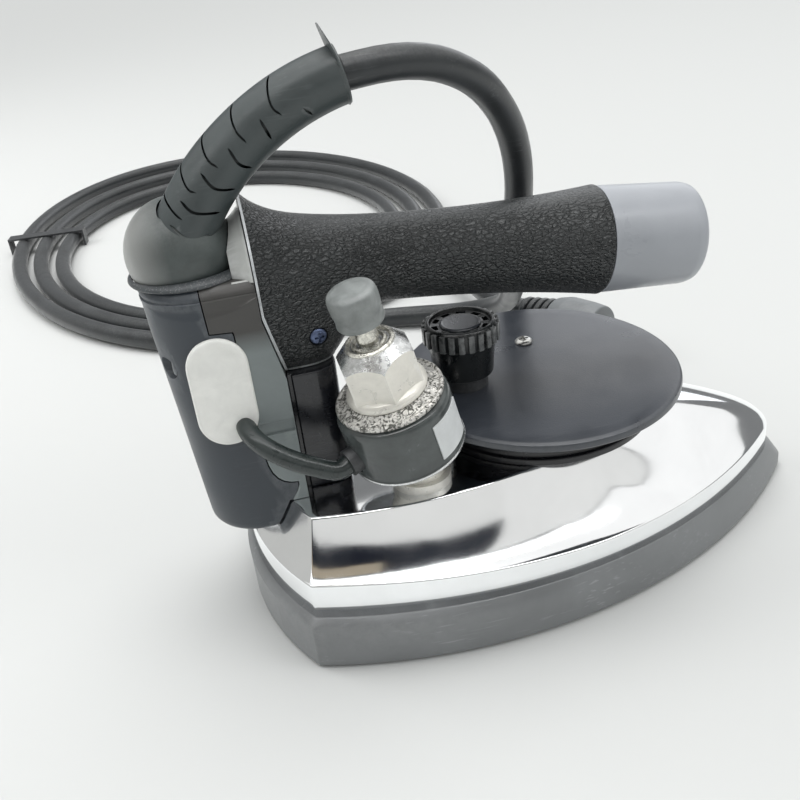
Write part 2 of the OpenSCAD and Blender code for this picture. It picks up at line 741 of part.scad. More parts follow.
// The boot's ball stands this far above the column's top and behind the cord
boot_rise = 6.4;
boot_back = 1.6;
collar_h = 2.2;
module cord_collar() {
    color("#3d4247") translate([boot_x, 0, column_top_z]) difference() {
        union() {
            cylinder(r = collar_r, h = collar_h - 1);
            translate([0, 0, collar_h - 1 - e]) cylinder(r1 = collar_r, r2 = collar_r - 1, h = 1);
        }
        translate([-boot_back, 0, boot_rise]) sphere(r = boot_r + snug);
        translate([grip_back_x - flange_l - snug - boot_x, -30, -1]) cube([40, 60, 10]);
    }
}
relief_bend_r = 76;
relief_root_a = 27;
relief_turn = 79;
relief_root = [boot_x - 0.5, 0, column_top_z + 8.5];
relief_mid = relief_root + relief_bend_r * [cos(relief_root_a), 0, -sin(relief_root_a)];
relief_steps = 24;
// The sleeve leaves the ball on its near side and stands upright further on
relief_lean = 5;
relief_upright = 30;
// Points on the relief's arc, from its root to its tip
function relief_pt(a) =
    let (u = max(0, min(1, (a - relief_root_a) / relief_upright)), s = 1 - u * u * (3 - 2 * u))
    [relief_mid[0] - relief_bend_r * cos(a), -relief_lean * s,
     relief_mid[2] + relief_bend_r * sin(a) + relief_lean * s * 0.42];
relief_tip = relief_pt(relief_turn);
relief_way = [sin(relief_turn), 0, cos(relief_turn)];
inner_foot_z = terminal_z + terminal_h + 3;
inner_steps = 5;
inner_turn_z = column_top_z - 7;
inner_route = concat(
    [for (k = [0 : inner_steps]) [boot_x, 0, inner_foot_z + (inner_turn_z - inner_foot_z) * k / inner_steps]],
    [[boot_x - 0.3, -relief_lean / 2, column_top_z]],
    [for (k = [0 : 9]) relief_pt(relief_root_a + (relief_turn - relief_root_a) * k / 10)],
    [relief_tip - 2 * relief_way, relief_tip]);
module cord_passage(r, from) {
    P = [for (i = [from : len(inner_route) - 1]) inner_route[i]];
    tube(concat([P[0] - [0, 0, 2]], P, [P[len(P) - 1] + 2 * relief_way]), r, [0, 1, 0], 24);
}
module inner_cord() {
    color("#1d1f21") tube(inner_route, cord_r, [0, 1, 0], 24);
}
module boot_ball(grow) {
    translate([boot_x - boot_back, 0, column_top_z + boot_rise]) sphere(r = boot_r + grow);
}
module cord_boot() {
    color("#4b5054") difference() {
        boot_ball(0);
        slab(-140, 0, 0, column_top_z);
        cord_passage(cord_r + snug, inner_steps);
    }
}
module relief_arc(r0, r1, a0, a1) {
    P = [for (k = [0 : relief_steps]) relief_pt(a0 + (a1 - a0) * k / relief_steps)];
    loft(tube_rings(P, [for (k = [0 : relief_steps]) r0 + (r1 - r0) * k / relief_steps], [0, 1, 0], 24));
}
slot_w = 16;
module strain_relief() {
    first = relief_root_a + 5;
    last = relief_turn - 12;
    color("#3c4145") difference() {
        relief_arc(relief_root_r, relief_tip_r, relief_root_a - 8, relief_turn);
        cord_passage(cord_r + snug, inner_steps);
        boot_ball(snug);
        for (k = [0 : relief_slots - 1]) {
            u = k / (relief_slots - 1);
            a = first + (last - first) * u * (0.76 + 0.24 * u);
            translate(relief_pt(a)) rotate([0, a, 0]) rotate([0, 0, k % 2 == 0 ? -50 : 165])
                translate([cord_r + 1.4, -slot_w / 2, -0.7]) cube([12, slot_w, 1.4]);
        }
    }
}
module relief_lip() {
    color("#3c4145") translate(relief_tip) rotate([0, relief_turn, 0]) difference() {
        translate([0, 0, -1.2]) cylinder(r = relief_tip_r + 4.8, h = 1.1);
        translate([0, 0, -3]) cylinder(r = relief_tip_r + 0.05, h = 6);
        translate([relief_tip_r - 12, -30, -3]) cube([60, 60, 6]);
    }
}

// Handle
grip_steps = 28;
function swell(s) = (grip_front_r - grip_waist_r) * pow(max(0, s - 38) / (grip_length - 38), 2.2);
// The sleeve's foot is full and square below, then draws in to the round waist
foot_run = 23;
function foot_share(s, w) = 1 / (1 + exp((s - foot_run) / w));
function grip_side(s) = grip_waist_r + 6.4 * foot_share(s, 4.5) + swell(s);
function grip_up(s) = grip_waist_r + 5 * exp(-s / 9) + swell(s);
function grip_down(s) = grip_waist_r + 17 * foot_share(s, 3) + swell(s);
function power(v, n) = sign(v) * pow(abs(v), n);
function grip_ring(s) = [for (k = [0 : 35]) let (a = 10 * k,
    n = cos(a) > 0 ? 2 / (2 + 2.5 * foot_share(s, 4)) : 1,
    v = cos(a) > 0 ? grip_down(s) : grip_up(s))
    [v * power(cos(a), n), grip_side(s) * power(sin(a), n), s]];
module grip_solid() {
    loft([for (k = [-2 : grip_steps]) let (s = k < 0 ? 2.5 * k : grip_length * k / grip_steps) grip_ring(s)]);
}
module core_tube() {
    color("#a9abad") difference() {
        at_handle() annulus(core_r, core_r - 1.5, grip_length + cap_length - 8);
        slab(-200, split_front_x + seam, 0, 300);
    }
}
module grip_sleeve() {
    color("#1a1b1d") difference() {
        at_handle() grip_solid();
        behind(front_seam_line, seam);
        at_handle() translate([0, 0, -20]) cylinder(r = core_r + snug, h = grip_length + 60);
        at_handle() translate([0, 0, -20]) cylinder(r = core_r + 2 + snug, h = core_reach + 20 + snug);
        translate([grip_back_x - 1, -tongue_w / 2 - snug, 0])
            cube([tongue_x - grip_back_x + 1 + snug, tongue_w + 2 * snug, front_top_z - 1 + snug]);
        slab(-200, 0, 0, front_step_z);
        translate([split_front_x + 6, switch_face_y - 16 - snug, switch_z - 6 - snug])
            cube([8.3 + snug, 40, 12 + 2 * snug]);
        button_bore();
        flare_recess();
    }
}
module grip_plug() {
    color("#8f9294") at_handle() translate([0, 0, grip_length + snug])
        annulus(cap_face_r - 2.6, core_r + snug, cap_length - 10);
}
module end_cap() {
    color("#8d9094") at_handle() translate([0, 0, grip_length + snug]) difference() {
        union() {
            cylinder(r1 = grip_front_r - 0.4, r2 = cap_face_r, h = cap_length - 2);
            translate([0, 0, cap_length - 2 - e]) cylinder(r1 = cap_face_r, r2 = cap_face_r - 1.6, h = 2);
        }
        translate([0, 0, -1]) cylinder(r = cap_face_r - 2.6 + snug, h = cap_length - 9 + snug);
        translate([0, 0, cap_length - 12]) cylinder(r = core_r + 1, h = 4);
        cylinder(r = 2.2, h = cap_length + 5);
        translate([0, 0, cap_length - 3.4]) cylinder(r = 4.2, h = 10);
    }
}
module cap_screw() {
    color("#9a9c9e") at_handle() translate([0, 0, grip_length + snug + cap_length - 3.4])
        screw(3.8, 2, 2, 4.5);
}
flare_screw_place = [-68.4, -17.8, 97.2];
module at_flare() {
    translate(flare_screw_place) rotate([95.6, 0, 8.6]) children();
}
module flare_recess() {
    at_flare() translate([0, 0, -7]) cylinder(r = 1.6 + snug, h = 7);
    at_flare() translate([0, 0, -0.3]) cylinder(r = 3, h = 12);
}
module flare_screw() {
    color("#5a6a86") at_flare() screw(2.6, 1.6, 1.6, 5);
}

// Thumb button and switch, on the far side of the handle's root
button_y = 15.5;
button_h = 7;
switch_x = split_front_x + 10.3;
switch_z = 97;
button_bore_r = button_r + 1.4;
module button_bore() {
    translate([switch_x, 8, switch_z]) rotate([-90, 0, 0]) cylinder(r = button_bore_r + snug, h = 30);
}
module button_ring() {
    color("#2a2d30") translate([switch_x, 9, switch_z]) rotate([-90, 0, 0])
        annulus(button_bore_r, button_r + 0.1, 12);
}
module steam_button() {
    color("#b23b2e") translate([switch_x, button_y, switch_z]) rotate([-90, 0, 0]) {
        cylinder(r = button_r, h = button_h);
        translate([0, 0, button_h - e]) cylinder(r1 = button_r, r2 = button_r - 1.2, h = 1.2);
    }
}
switch_gap = (button_travel - switch_travel) + 0.1;
switch_face_y = 8;
module switch_body() {
    color("#1f2124") translate([switch_x - 4, switch_face_y - 16, switch_z - 6]) difference() {
        cube([8, 16, 12]);
        translate([4, 9.5, 6]) rotate([-90, 0, 0]) cylinder(r = 1.6, h = 8);
    }
}
module switch_plunger() {
    color("#c8392b") translate([switch_x, switch_face_y - 4, switch_z]) rotate([-90, 0, 0])
        cylinder(r = 1.5, h = button_y - switch_gap - switch_face_y + 4);
}

// Steam valve
valve_foot = [-47, -29, 60];
inlet_tube_x = -42;
inlet_tube_y = -15;
inlet_tube_r = 3;
module at_valve() {
    translate(valve_foot) rotate([valve_splay, -valve_lean, 0]) children();
}
// The same turn for a point given from the valve's foot
function valve_pt(v) =
    let (y = v[1] * cos(valve_splay) - v[2] * sin(valve_splay),
         z = v[1] * sin(valve_splay) + v[2] * cos(valve_splay))
    valve_foot + [v[0] * cos(valve_lean) - z * sin(valve_lean), y,
        v[0] * sin(valve_lean) + z * cos(valve_lean)];
ring_z = valve_h;
ring_h = 3;
hex_z = ring_z + ring_h;
boss_z = hex_z + hex_h;
boss_h = 5;
nipple_z = boss_z + boss_h;
nipple_h = 12;
tube_r = 4.5;
tube_bore_r = 3.65;
drill_z = cover_top_z + 1.6;
drill_l = (valve_foot[2] - drill_z) / cos(valve_lean) / cos(valve_splay);
drill_foot = valve_pt([0, 0, -drill_l]);
drill_run = [inlet_tube_x - drill_foot[0], inlet_tube_y - drill_foot[1]];
module valve_body() {
    color("#b79a52") difference() {
        union() {
            translate([0, 0, cover_top_z]) linear_extrude(3) {
                translate([valve_foot[0] + 3, valve_foot[1] + 1]) circle(9.5);
                translate([inlet_tube_x, inlet_tube_y]) circle(6);
                translate([inlet_tube_x - 7, inlet_tube_y - 10]) square([12, 12]);
            }
            intersection() {
                at_valve() translate([0, 0, -18]) cylinder(r = 8, h = 18);
                slab(-100, 0, cover_top_z, 80);
            }
        }
        translate([inlet_tube_x, inlet_tube_y, 0]) cylinder(r = inlet_tube_r + snug, h = 52);
        at_valve() translate([0, 0, -3]) cylinder(r = tube_r + snug, h = 10);
        // Water passage from the valve's seat to the inlet tube
        at_valve() translate([0, 0, -drill_l - 0.4]) cylinder(r = 1.2, h = drill_l);
        translate(drill_foot) rotate([-90, 0, atan2(-drill_run[0], drill_run[1])])
            cylinder(r = 0.9, h = norm(drill_run));
    }
}
module inlet_tube() {
    color("#b08d3e") translate([inlet_tube_x, inlet_tube_y, lid_z])
        annulus(inlet_tube_r, inlet_tube_r - 1, cover_top_z + 3 - lid_z);
}
housing_wall = 1.6;
module valve_housing() {
    color("#131416") at_valve() difference() {
        union() {
            cylinder(r = valve_r, h = valve_h - 1);
            translate([0, 0, valve_h - 1 - e]) cylinder(r1 = valve_r, r2 = valve_r - 1, h = 1);
        }
        translate([0, 0, housing_wall]) cylinder(r = valve_r - housing_wall, h = valve_h);
        translate([0, 0, -1]) cylinder(r = tube_r + snug, h = 5);
        rotate([0, 0, lead_turn]) translate([-valve_r - 2, 0, lead_h]) rotate([0, 90, 0])
            cylinder(r = lead_r + 1.2 + snug, h = 6);
    }
}
module valve_coil() {
    color("#a5602f") at_valve() translate([0, 0, housing_wall])
        annulus(valve_r - housing_wall - 1, tube_r + snug, valve_h - housing_wall);
}
module valve_tube() {
    color("#b9bcbe") at_valve() translate([0, 0, -3]) difference() {
        cylinder(r = tube_r, h = tube_top + 3);
        translate([0, 0, 2]) cylinder(r = tube_bore_r, h = 60);
        translate([0, 0, -1]) cylinder(r = 1.2, h = 5);
    }
}
tube_top = hex_z + 5;
plunger_foot = -1;
plunger_pocket = 5;
// The raised plunger stops at the nut
plunger_l = tube_top - plunger_lift - plunger_foot;
module valve_plunger() {
    color("#c3c6c8") at_valve() translate([0, 0, plunger_foot]) difference() {
        cylinder(r = tube_bore_r - 0.08, h = plunger_l);
        translate([0, 0, plunger_l - plunger_pocket]) cylinder(r = 2.9, h = 10);
        for (s = [-1, 1]) translate([s * (tube_bore_r + 4.6), 0, -1])
            cube([10, 10, 4 * plunger_l], center = true);
    }
}
spring_curls = 6;
spring_wire_r = 0.35;
module plunger_spring() {
    steps = spring_curls * 8;
    foot = plunger_foot + plunger_l - plunger_pocket;
    run = tube_top - foot;
    P = [for (k = [0 : steps]) [2.25 * cos(45 * k), 2.25 * sin(45 * k),
        foot + spring_wire_r + (run - 2 * spring_wire_r) * k / steps]];
    color("#8c9094") at_valve() loft(tube_rings(P, [for (p = P) spring_wire_r], [1, 0, 0], 6));
}
module valve_ring() {
    color("#cfd1d2") at_valve() translate([0, 0, ring_z]) difference() {
        union() {
            cylinder(r = valve_r - 1.4, h = ring_h - 0.8);
            translate([0, 0, ring_h - 0.8 - e]) cylinder(r1 = valve_r - 1.4, r2 = valve_r - 2.4, h = 0.8);
        }
        translate([0, 0, -1]) cylinder(r = tube_r + snug, h = ring_h + 2);
    }
}
module valve_hex() {
    color("#d9dadb") at_valve() translate([0, 0, hex_z]) difference() {
        intersection() {
            cylinder(r = hex_af / 2 / cos(30), h = hex_h, $fn = 6);
            union() {
                cylinder(r = hex_af / 2 / cos(30) - 0.3, h = hex_h - 1.5);
                translate([0, 0, hex_h - 1.5 - e])
                    cylinder(r1 = hex_af / 2 / cos(30) - 0.3, r2 = hex_af / 2 - 0.3, h = 1.5 + e);
            }
        }
        translate([0, 0, -1]) cylinder(r = tube_r + snug, h = 6);
        translate([0, 0, 4]) cylinder(r = 3.6, h = 1.2);
        translate([0, 0, -1]) cylinder(r = inlet_bore_r, h = hex_h + 2);
    }
}
module inlet_nipple() {
    color("#c9b98a") at_valve() translate([0, 0, boss_z]) difference() {
        union() {
            cylinder(r1 = 11, r2 = 10.4, h = boss_h - 1);
            cylinder(r = 7, h = boss_h);
            cylinder(r = 3.6, h = boss_h + nipple_h - 1);
            for (z = [boss_h + 2, boss_h + 5.5, boss_h + 9])
                translate([0, 0, z]) cylinder(r1 = 4.3, r2 = 3.6, h = 3);
        }
        translate([0, 0, boss_h - 2]) difference() {
            cylinder(r = 9.6, h = 3);
            translate([0, 0, -1]) cylinder(r = 7, h = 5);
        }
        translate([0, 0, -1]) cylinder(r = inlet_bore_r, h = 40);
    }
}
cap_h = 17;
module dust_cap() {
    color("#3c4142") at_valve() translate([0, 0, nipple_z + snug]) difference() {
        union() {
            cylinder(r1 = 7.6, r2 = 7, h = cap_h - 5);
            translate([0, 0, cap_h - 5 - e]) cylinder(r1 = 7, r2 = 5.8, h = 3);
            translate([0, 0, cap_h - 2 - 2 * e]) cylinder(r1 = 5.8, r2 = 3.2, h = 2);
        }
        translate([0, 0, -1]) cylinder(r = 4.38, h = nipple_h + 1.5);
    }
}
lead_turn = 18;
module lead_grommet() {
    color("#25282b") at_valve() rotate([0, 0, lead_turn]) translate([-valve_r - 2.4, 0, lead_h])
        rotate([0, 90, 0]) annulus(lead_r + 1.2, lead_r + snug, 4.2);
}
// The lead's route, from inside the column to inside the coil's housing
lead_h = 7.5;
function lead_pt(d) = valve_pt([-d * cos(lead_turn), -d * sin(lead_turn), lead_h]);
lead_route = [[-94.5, -16, 74.8], [-94.5, -23.5, 74.8], [-93.6, -27.6, 74], [-91.2, -31, 72.2],
    [-87.4, -33.6, 69.6], [-82.6, -35.4, 66.8], [-77.6, -36.5, 64.4]];
module solenoid_lead() {
    P = concat(lead_route, [lead_pt(valve_r + 6), lead_pt(valve_r + 1), lead_pt(valve_r - 1.4)]);
    color("#5b6a67") tube(P, lead_r, [0, 0, 1], 12);
}
label_turn = -43;
module valve_label() {
    color("#e4e5e3") at_valve() rotate([0, 0, label_turn]) translate([0, 0, 3])
        rotate([0, 0, -23]) rotate_extrude(angle = 46) translate([valve_r + snug, 0]) square([0.25, 12.5]);
}

// Mains cord: the free stretch from the strain relief down to the table
cord_route = [[-38, 1, 167.3], [-28.5, 3.2, 166.7], [-19, 6.8, 164.3], [-10, 11.5, 159.8], [-2, 16.8, 153.6],
    [4.6, 22.2, 145.6], [9.8, 27.6, 136.4], [13.4, 32.8, 126.4], [15.6, 38, 116], [16.7, 43.2, 105.6],
    [17.4, 49, 95.4], [18.6, 56, 85.6], [20.8, 64.5, 76.4], [23.8, 74, 67.8], [27.2, 84.5, 59.6],
    [30.6, 95.6, 51.6], [33.8, 107, 43.8], [36.6, 118.6, 36.2], [38.6, 130.4, 28.9], [39, 142.2, 22.2],
    [36.5, 153.8, 16.2], [31, 164.6, 11.4], [22.5, 173.8, 8], [12, 181.2, 6.2], [0, 186.8, 5.4],
    [-13, 190.8, 5.15], [-27, 193.6, 5.15], [-42, 195.4, 5.15], [-57, 196.3, 5.15]];
// The coil on the table behind the iron: an oval that winds inwards.
// Each turn is smaller and lies nearer the iron, so its far strands fan out.
coil_mid = [-80, 418];
coil_a = 156;
coil_b = 226;
coil_tilt = 9;
coil_start = 255;
coil_pitch = 16;
coil_shrink = 28;
coil_drift = 12;
coil_rings = 24;
function oval(th, turn) =
    let (u = (coil_a - coil_pitch * turn) * cos(th), v = (coil_b - coil_shrink * turn) * sin(th))
    [coil_mid[0] + u * cos(coil_tilt) - v * sin(coil_tilt),
     coil_mid[1] - coil_drift * turn + u * sin(coil_tilt) + v * cos(coil_tilt), cord_r];
coil_steps = round(coil_turns * coil_rings);
coil_line = [for (k = [0 : coil_steps]) oval(coil_start - 360 * k / coil_rings, k / coil_rings)];
coil_head_way = unit(oval(coil_start - 1, 1 / 360) - oval(coil_start, 0));
coil_last = coil_start - 360 * coil_steps / coil_rings;
coil_tail_way = unit(oval(coil_last - 1, coil_steps / coil_rings) - oval(coil_last, coil_steps / coil_rings));
coil_head = coil_line[0] - cord_d * coil_head_way;
coil_foot = coil_line[coil_steps] + cord_d * coil_tail_way;
coil_route = concat([coil_head], coil_line, [coil_foot]);
// Least gap between one turn and the next
coil_fine = [for (k = [0 : coil_steps * 4 - 1]) let (i = floor(k / 4), f = (k - 4 * floor(k / 4)) / 4)
    coil_line[i] + f * (coil_line[i + 1] - coil_line[i])];
coil_gap = min([for (i = [0 : len(coil_fine) - 1]) for (j = [-12 : 12])
    let (k = i + 4 * coil_rings + j)
    k < len(coil_fine) ? norm(coil_fine[i] - coil_fine[k]) - cord_d : 1000]);
echo(coil_gap = coil_gap);
function reach(P, i = 1, s = 0) = i == len(P) ? s : reach(P, i + 1, s + norm(P[i] - P[i - 1]));
echo(coil_length = reach(coil_route));
// Out of the coil's last turn, over two turns and into the plug
tail_route = [[31.9, 336, 7.6], [32, 325, 11.6], [32.3, 313.5, 15.3], [32.8, 302, 17], [33.5, 290, 17.2],
    [34.4, 278, 16.7], [35.4, 266, 16.6], [36.5, 254, 16.6], [37.6, 242, 16.3], [38.7, 230, 15.4],
    [39.7, 218, 14.2], [40.7, 206, 13.1], [41.7, 194, 12.5], [43, 182, 12.4], [45.2, 170.5, 12.7]];
plug_at = [55, 150, 13];
plug_turn = -60;
plug_way = [cos(plug_turn), sin(plug_turn), 0];
module mains_cord() {
    color("#1d1f21") tube(concat([relief_tip, relief_tip + 5 * relief_way], cord_route,
        [coil_head - cord_d * coil_head_way, coil_head]),
        cord_r, [0, 1, 0], 10);
}
module cord_coil() {
    color("#1d1f21") tube(coil_route, cord_r, [0, 0, 1], 6);
}
module cord_tail() {
    color("#1d1f21") tube(concat([coil_foot, coil_foot + 8 * coil_tail_way], tail_route,
        [plug_at - 8 * plug_way, plug_at]), cord_r, [0, 0, 1], 10);
}
tie_th = 160;
module cord_tie() {
    turn = (coil_start - tie_th) / 360;
    p = oval(tie_th, turn);
    q = oval(tie_th, turn + 2);
    along = unit(oval(tie_th - 1, turn + 1) - oval(tie_th + 1, turn + 1));
    across = [along[1], -along[0], 0];
    run = abs((q - p) * across) + cord_d + 6;
    color("#2a2d30") translate([(p[0] + q[0]) / 2, (p[1] + q[1]) / 2, 0])
        rotate([0, 0, atan2(across[1], across[0])]) difference() {
            translate([-run / 2 - 1.4, -5, 0]) cube([run + 2.8, 10, cord_d + 1.4]);
            translate([-run / 2, -6, -1]) cube([run, 12, cord_d + 1 + snug]);
        }
}

// Plug, lying on the table behind the iron
plug_r = 13;
plug_relief_l = 20;
plug_body_l = 28;
module at_plug(along) {
    translate(plug_at) rotate([0, 0, plug_turn]) translate([along, 0, 0]) rotate([0, 90, 0]) children();
}
module plug_relief() {
    color("#1d1f21") at_plug(0) difference() {
        union() {
            cylinder(r1 = cord_r + 1, r2 = 9, h = plug_relief_l);
            for (k = [0 : 3]) translate([0, 0, 1.5 + 4.6 * k]) cylinder(r = cord_r + 1.9 + 0.75 * k, h = 2.2);
        }
    }
}
module mains_plug() {
    color("#6d7276") at_plug(plug_relief_l) {
        cylinder(r1 = 10.5, r2 = plug_r - 0.2, h = 8);
        translate([0, 0, 8 - e]) cylinder(r = plug_r - 0.2, h = plug_body_l - 8);
    }
}
pin_r = 2.4;
pin_l = 17.6;
module plug_pins() {
    color("#c9cccd") at_plug(plug_relief_l + plug_body_l) for (y = [-7, 7])
        translate([0, y, 0]) {
            cylinder(r = pin_r, h = pin_l);
            translate([0, 0, pin_l - e]) cylinder(r1 = pin_r, r2 = pin_r / 2, h = 1.4);
        }
}

soleplate();
heating_element();
chamber_gasket();
chamber_lid();
lid_screws();
thermostat_body();
thermal_cutout();
cover_shell();
insulating_block();
heat_shield();
shield_screws();
knob_bushing();
thermostat_knob();
thermostat_spindle();
dial_disc();
column_rear();
column_middle();
column_front();
column_screws();
rear_screws();
oval_pad();
terminal_block();
cord_clamp();
inner_cord();
cord_collar();
cord_boot();
strain_relief();
relief_lip();
core_tube();
grip_sleeve();
grip_plug();
end_cap();
cap_screw();
flare_screw();
steam_button();
button_ring();
switch_body();
switch_plunger();
valve_body();
inlet_tube();
valve_housing();
valve_coil();
valve_tube();
valve_plunger();
plunger_spring();
valve_ring();
valve_hex();
inlet_nipple();
dust_cap();
lead_grommet();
valve_label();
solenoid_lead();
mains_cord();
cord_coil();
cord_tail();
cord_tie();
plug_relief();
mains_plug();
plug_pins();
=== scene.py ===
import math

import bmesh
import bpy
from mathutils import Matrix, Vector


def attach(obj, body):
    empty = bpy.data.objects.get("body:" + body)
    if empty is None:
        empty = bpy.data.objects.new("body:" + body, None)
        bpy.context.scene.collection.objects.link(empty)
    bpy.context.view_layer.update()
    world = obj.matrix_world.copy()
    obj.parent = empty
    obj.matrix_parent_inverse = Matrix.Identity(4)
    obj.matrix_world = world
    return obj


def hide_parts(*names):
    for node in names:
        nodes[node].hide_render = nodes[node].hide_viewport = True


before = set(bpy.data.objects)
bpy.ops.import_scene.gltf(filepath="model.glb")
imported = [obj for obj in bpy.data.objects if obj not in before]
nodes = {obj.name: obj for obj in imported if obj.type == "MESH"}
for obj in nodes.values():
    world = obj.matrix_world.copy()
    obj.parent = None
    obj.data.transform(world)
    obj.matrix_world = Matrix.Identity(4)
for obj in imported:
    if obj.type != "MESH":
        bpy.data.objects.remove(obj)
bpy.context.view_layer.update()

# Every size below is in millimetres until a piece is finished.
MM = 0.001
TAU = 2 * math.pi
X, Y, Z = Vector((1, 0, 0)), Vector((0, 1, 0)), Vector((0, 0, 1))


# ---------------------------------------------------------------- tools for meshes

def mix(a, b, t):
    return a + (b - a) * t


def clamp(t, low=0.0, high=1.0):
    return max(low, min(high, t))


def smooth(t):
    t = clamp(t)
    return t * t * (3 - 2 * t)


def finish_piece(name, bm, material, body="iron", replaces=(), angle=35, bevel=0.0, segments=2,
                 materials=()):
    """The mesh, in millimetres, becomes a piece in metres that rides on a body."""
    bmesh.ops.remove_doubles(bm, verts=bm.verts, dist=1e-4)
    bmesh.ops.recalc_face_normals(bm, faces=bm.faces)
    bmesh.ops.scale(bm, vec=(MM, MM, MM), verts=bm.verts)
    mesh = bpy.data.meshes.new(name)
    bm.to_mesh(mesh)
    bm.free()
    mesh.materials.append(material)
    for extra in materials:
        mesh.materials.append(extra)
    piece = bpy.data.objects.new(name, mesh)
    bpy.context.scene.collection.objects.link(piece)
    for face in mesh.polygons:
        face.use_smooth = True
    mesh.set_sharp_from_angle(angle=math.radians(angle))
    if bevel:
        round_off(piece, bevel, segments)
    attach(piece, body)
    if replaces:
        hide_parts(*replaces)
    return piece


def round_off(piece, width, segments=2, angle=38):
    bevel = piece.modifiers.new("rounded edges", "BEVEL")
    bevel.width = width * MM
    bevel.segments = segments
    bevel.limit_method = "ANGLE"
    bevel.angle_limit = math.radians(angle)
    bevel.harden_normals = False
    return bevel


def ring_edges(bm, verts):
    return [bm.edges.get((verts[i], verts[(i + 1) % len(verts)])) for i in range(len(verts))]


def drawn_out(bm, sections, close_first=True, close_last=True):
    """A closed ring is drawn out through the sections, each a list of points."""
    count = len(sections[0])
    ring = bmesh.ops.create_circle(bm, segments=count, radius=1)["verts"]
    for vert, point in zip(ring, sections[0]):
        vert.co = point
    first = ring
    if close_first:
        bmesh.ops.contextual_create(bm, geom=ring_edges(bm, ring))
    for section in sections[1:]:
        made = bmesh.ops.extrude_edge_only(bm, edges=ring_edges(bm, ring))["geom"]
        fresh = {g for g in made if isinstance(g, bmesh.types.BMVert)}
        following = []
        for vert in ring:
            following.append(next(e.other_vert(vert) for e in vert.link_edges if e.other_vert(vert) in fresh))
        for vert, point in zip(following, section):
            vert.co = point
        ring = following
    if close_last:
        bmesh.ops.contextual_create(bm, geom=ring_edges(bm, ring))
    return first, ring


def turned(bm, profile, steps=96):
    """A profile of (radius, height) points is spun full circle about Z."""
    verts = [bm.verts.new((r, 0, z)) for r, z in profile]
    edges = [bm.edges.new(pair) for pair in zip(verts, verts[1:])]
    bmesh.ops.spin(bm, geom=verts + edges, cent=(0, 0, 0), axis=(0, 0, 1), angle=TAU, steps=steps,
                   use_merge=True, use_duplicate=False)
    bmesh.ops.remove_doubles(bm, verts=bm.verts, dist=1e-4)


def lathe(profile, steps=96, matrix=None):
    bm = bmesh.new()
    turned(bm, profile, steps)
    if matrix is not None:
        bmesh.ops.transform(bm, matrix=matrix, verts=bm.verts)
    return bm


def add_mesh(bm, other, matrix=None):
    """Joins another bmesh to this one."""
    holder = bpy.data.meshes.new("holder")
    if matrix is not None:
        bmesh.ops.transform(other, matrix=matrix, verts=other.verts)
    other.to_mesh(holder)
    other.free()
    bm.from_mesh(holder)
    bpy.data.meshes.remove(holder)


def cut_with(bm, cutter, operation="DIFFERENCE"):
    """The shape less the cutter, or their union or overlap, by an exact boolean."""
    a = bpy.data.meshes.new("kept")
    b = bpy.data.meshes.new("cutter")
    for work, mesh in ((bm, a), (cutter, b)):
        bmesh.ops.recalc_face_normals(work, faces=work.faces)
        work.to_mesh(mesh)
        work.free()
    keep = bpy.data.objects.new("kept", a)
    tool = bpy.data.objects.new("cutter", b)
    for ob in (keep, tool):
        bpy.context.scene.collection.objects.link(ob)
    boolean = keep.modifiers.new("cut", "BOOLEAN")
    boolean.operation = operation
    boolean.solver = "EXACT"
    boolean.use_self = True
    boolean.object = tool
    bpy.context.view_layer.update()
    evaluated = keep.evaluated_get(bpy.context.evaluated_depsgraph_get())
    result = bmesh.new()
    done = evaluated.to_mesh()
    result.from_mesh(done)
    evaluated.to_mesh_clear()
    for ob, mesh in ((keep, a), (tool, b)):
        bpy.data.objects.remove(ob)
        bpy.data.meshes.remove(mesh)
    return result


def cylinder(radius, height, steps=48, radius_top=None, matrix=None):
    bm = bmesh.new()
    bmesh.ops.create_cone(bm, cap_ends=True, segments=steps, radius1=radius,
                          radius2=radius if radius_top is None else radius_top, depth=height)
    bmesh.ops.translate(bm, vec=(0, 0, height / 2), verts=bm.verts)
    if matrix is not None:
        bmesh.ops.transform(bm, matrix=matrix, verts=bm.verts)
    return bm


def block(size, centre, matrix=None):
    bm = bmesh.new()
    bmesh.ops.create_cube(bm, size=1)
    bmesh.ops.scale(bm, vec=size, verts=bm.verts)
    bmesh.ops.translate(bm, vec=centre, verts=bm.verts)
    if matrix is not None:
        bmesh.ops.transform(bm, matrix=matrix, verts=bm.verts)
    return bm


def rounded(points, radius, steps=5):
    """The open profile with its inner corners rounded."""
    points = [Vector(p) for p in points]
    out = [points[0]]
    for a, b, c in zip(points, points[1:], points[2:]):
        into, off = (a - b), (c - b)
        r = min(radius, into.length * 0.45, off.length * 0.45)
        if r < 1e-3:
            out.append(b)
            continue
        start, end = b + into.normalized() * r, b + off.normalized() * r
        for k in range(steps + 1):
            t = k / steps
            out.append((1 - t) ** 2 * start + 2 * t * (1 - t) * b + t * t * end)
    out.append(points[-1])
    return [tuple(p) for p in out]


def frames_along(path, normal):
    """Tangent and two side vectors at each point of the path, carried without twist."""
    out = []
    n = Vector(normal)
    for i in range(len(path)):
        t = (path[min(i + 1, len(path) - 1)] - path[max(i - 1, 0)]).normalized()
        n = (n - t * n.dot(t)).normalized()
        out.append((t, n.copy(), t.cross(n)))
    return out


def swept(bm, path, radii, normal, sides=24, ends=True):
    sections = []
    for point, r, (t, a, b) in zip(path, radii, frames_along(path, normal)):
        sections.append([point + r * (math.cos(TAU * k / sides) * a + math.sin(TAU * k / sides) * b)
                         for k in range(sides)])
    return drawn_out(bm, sections, ends, ends)


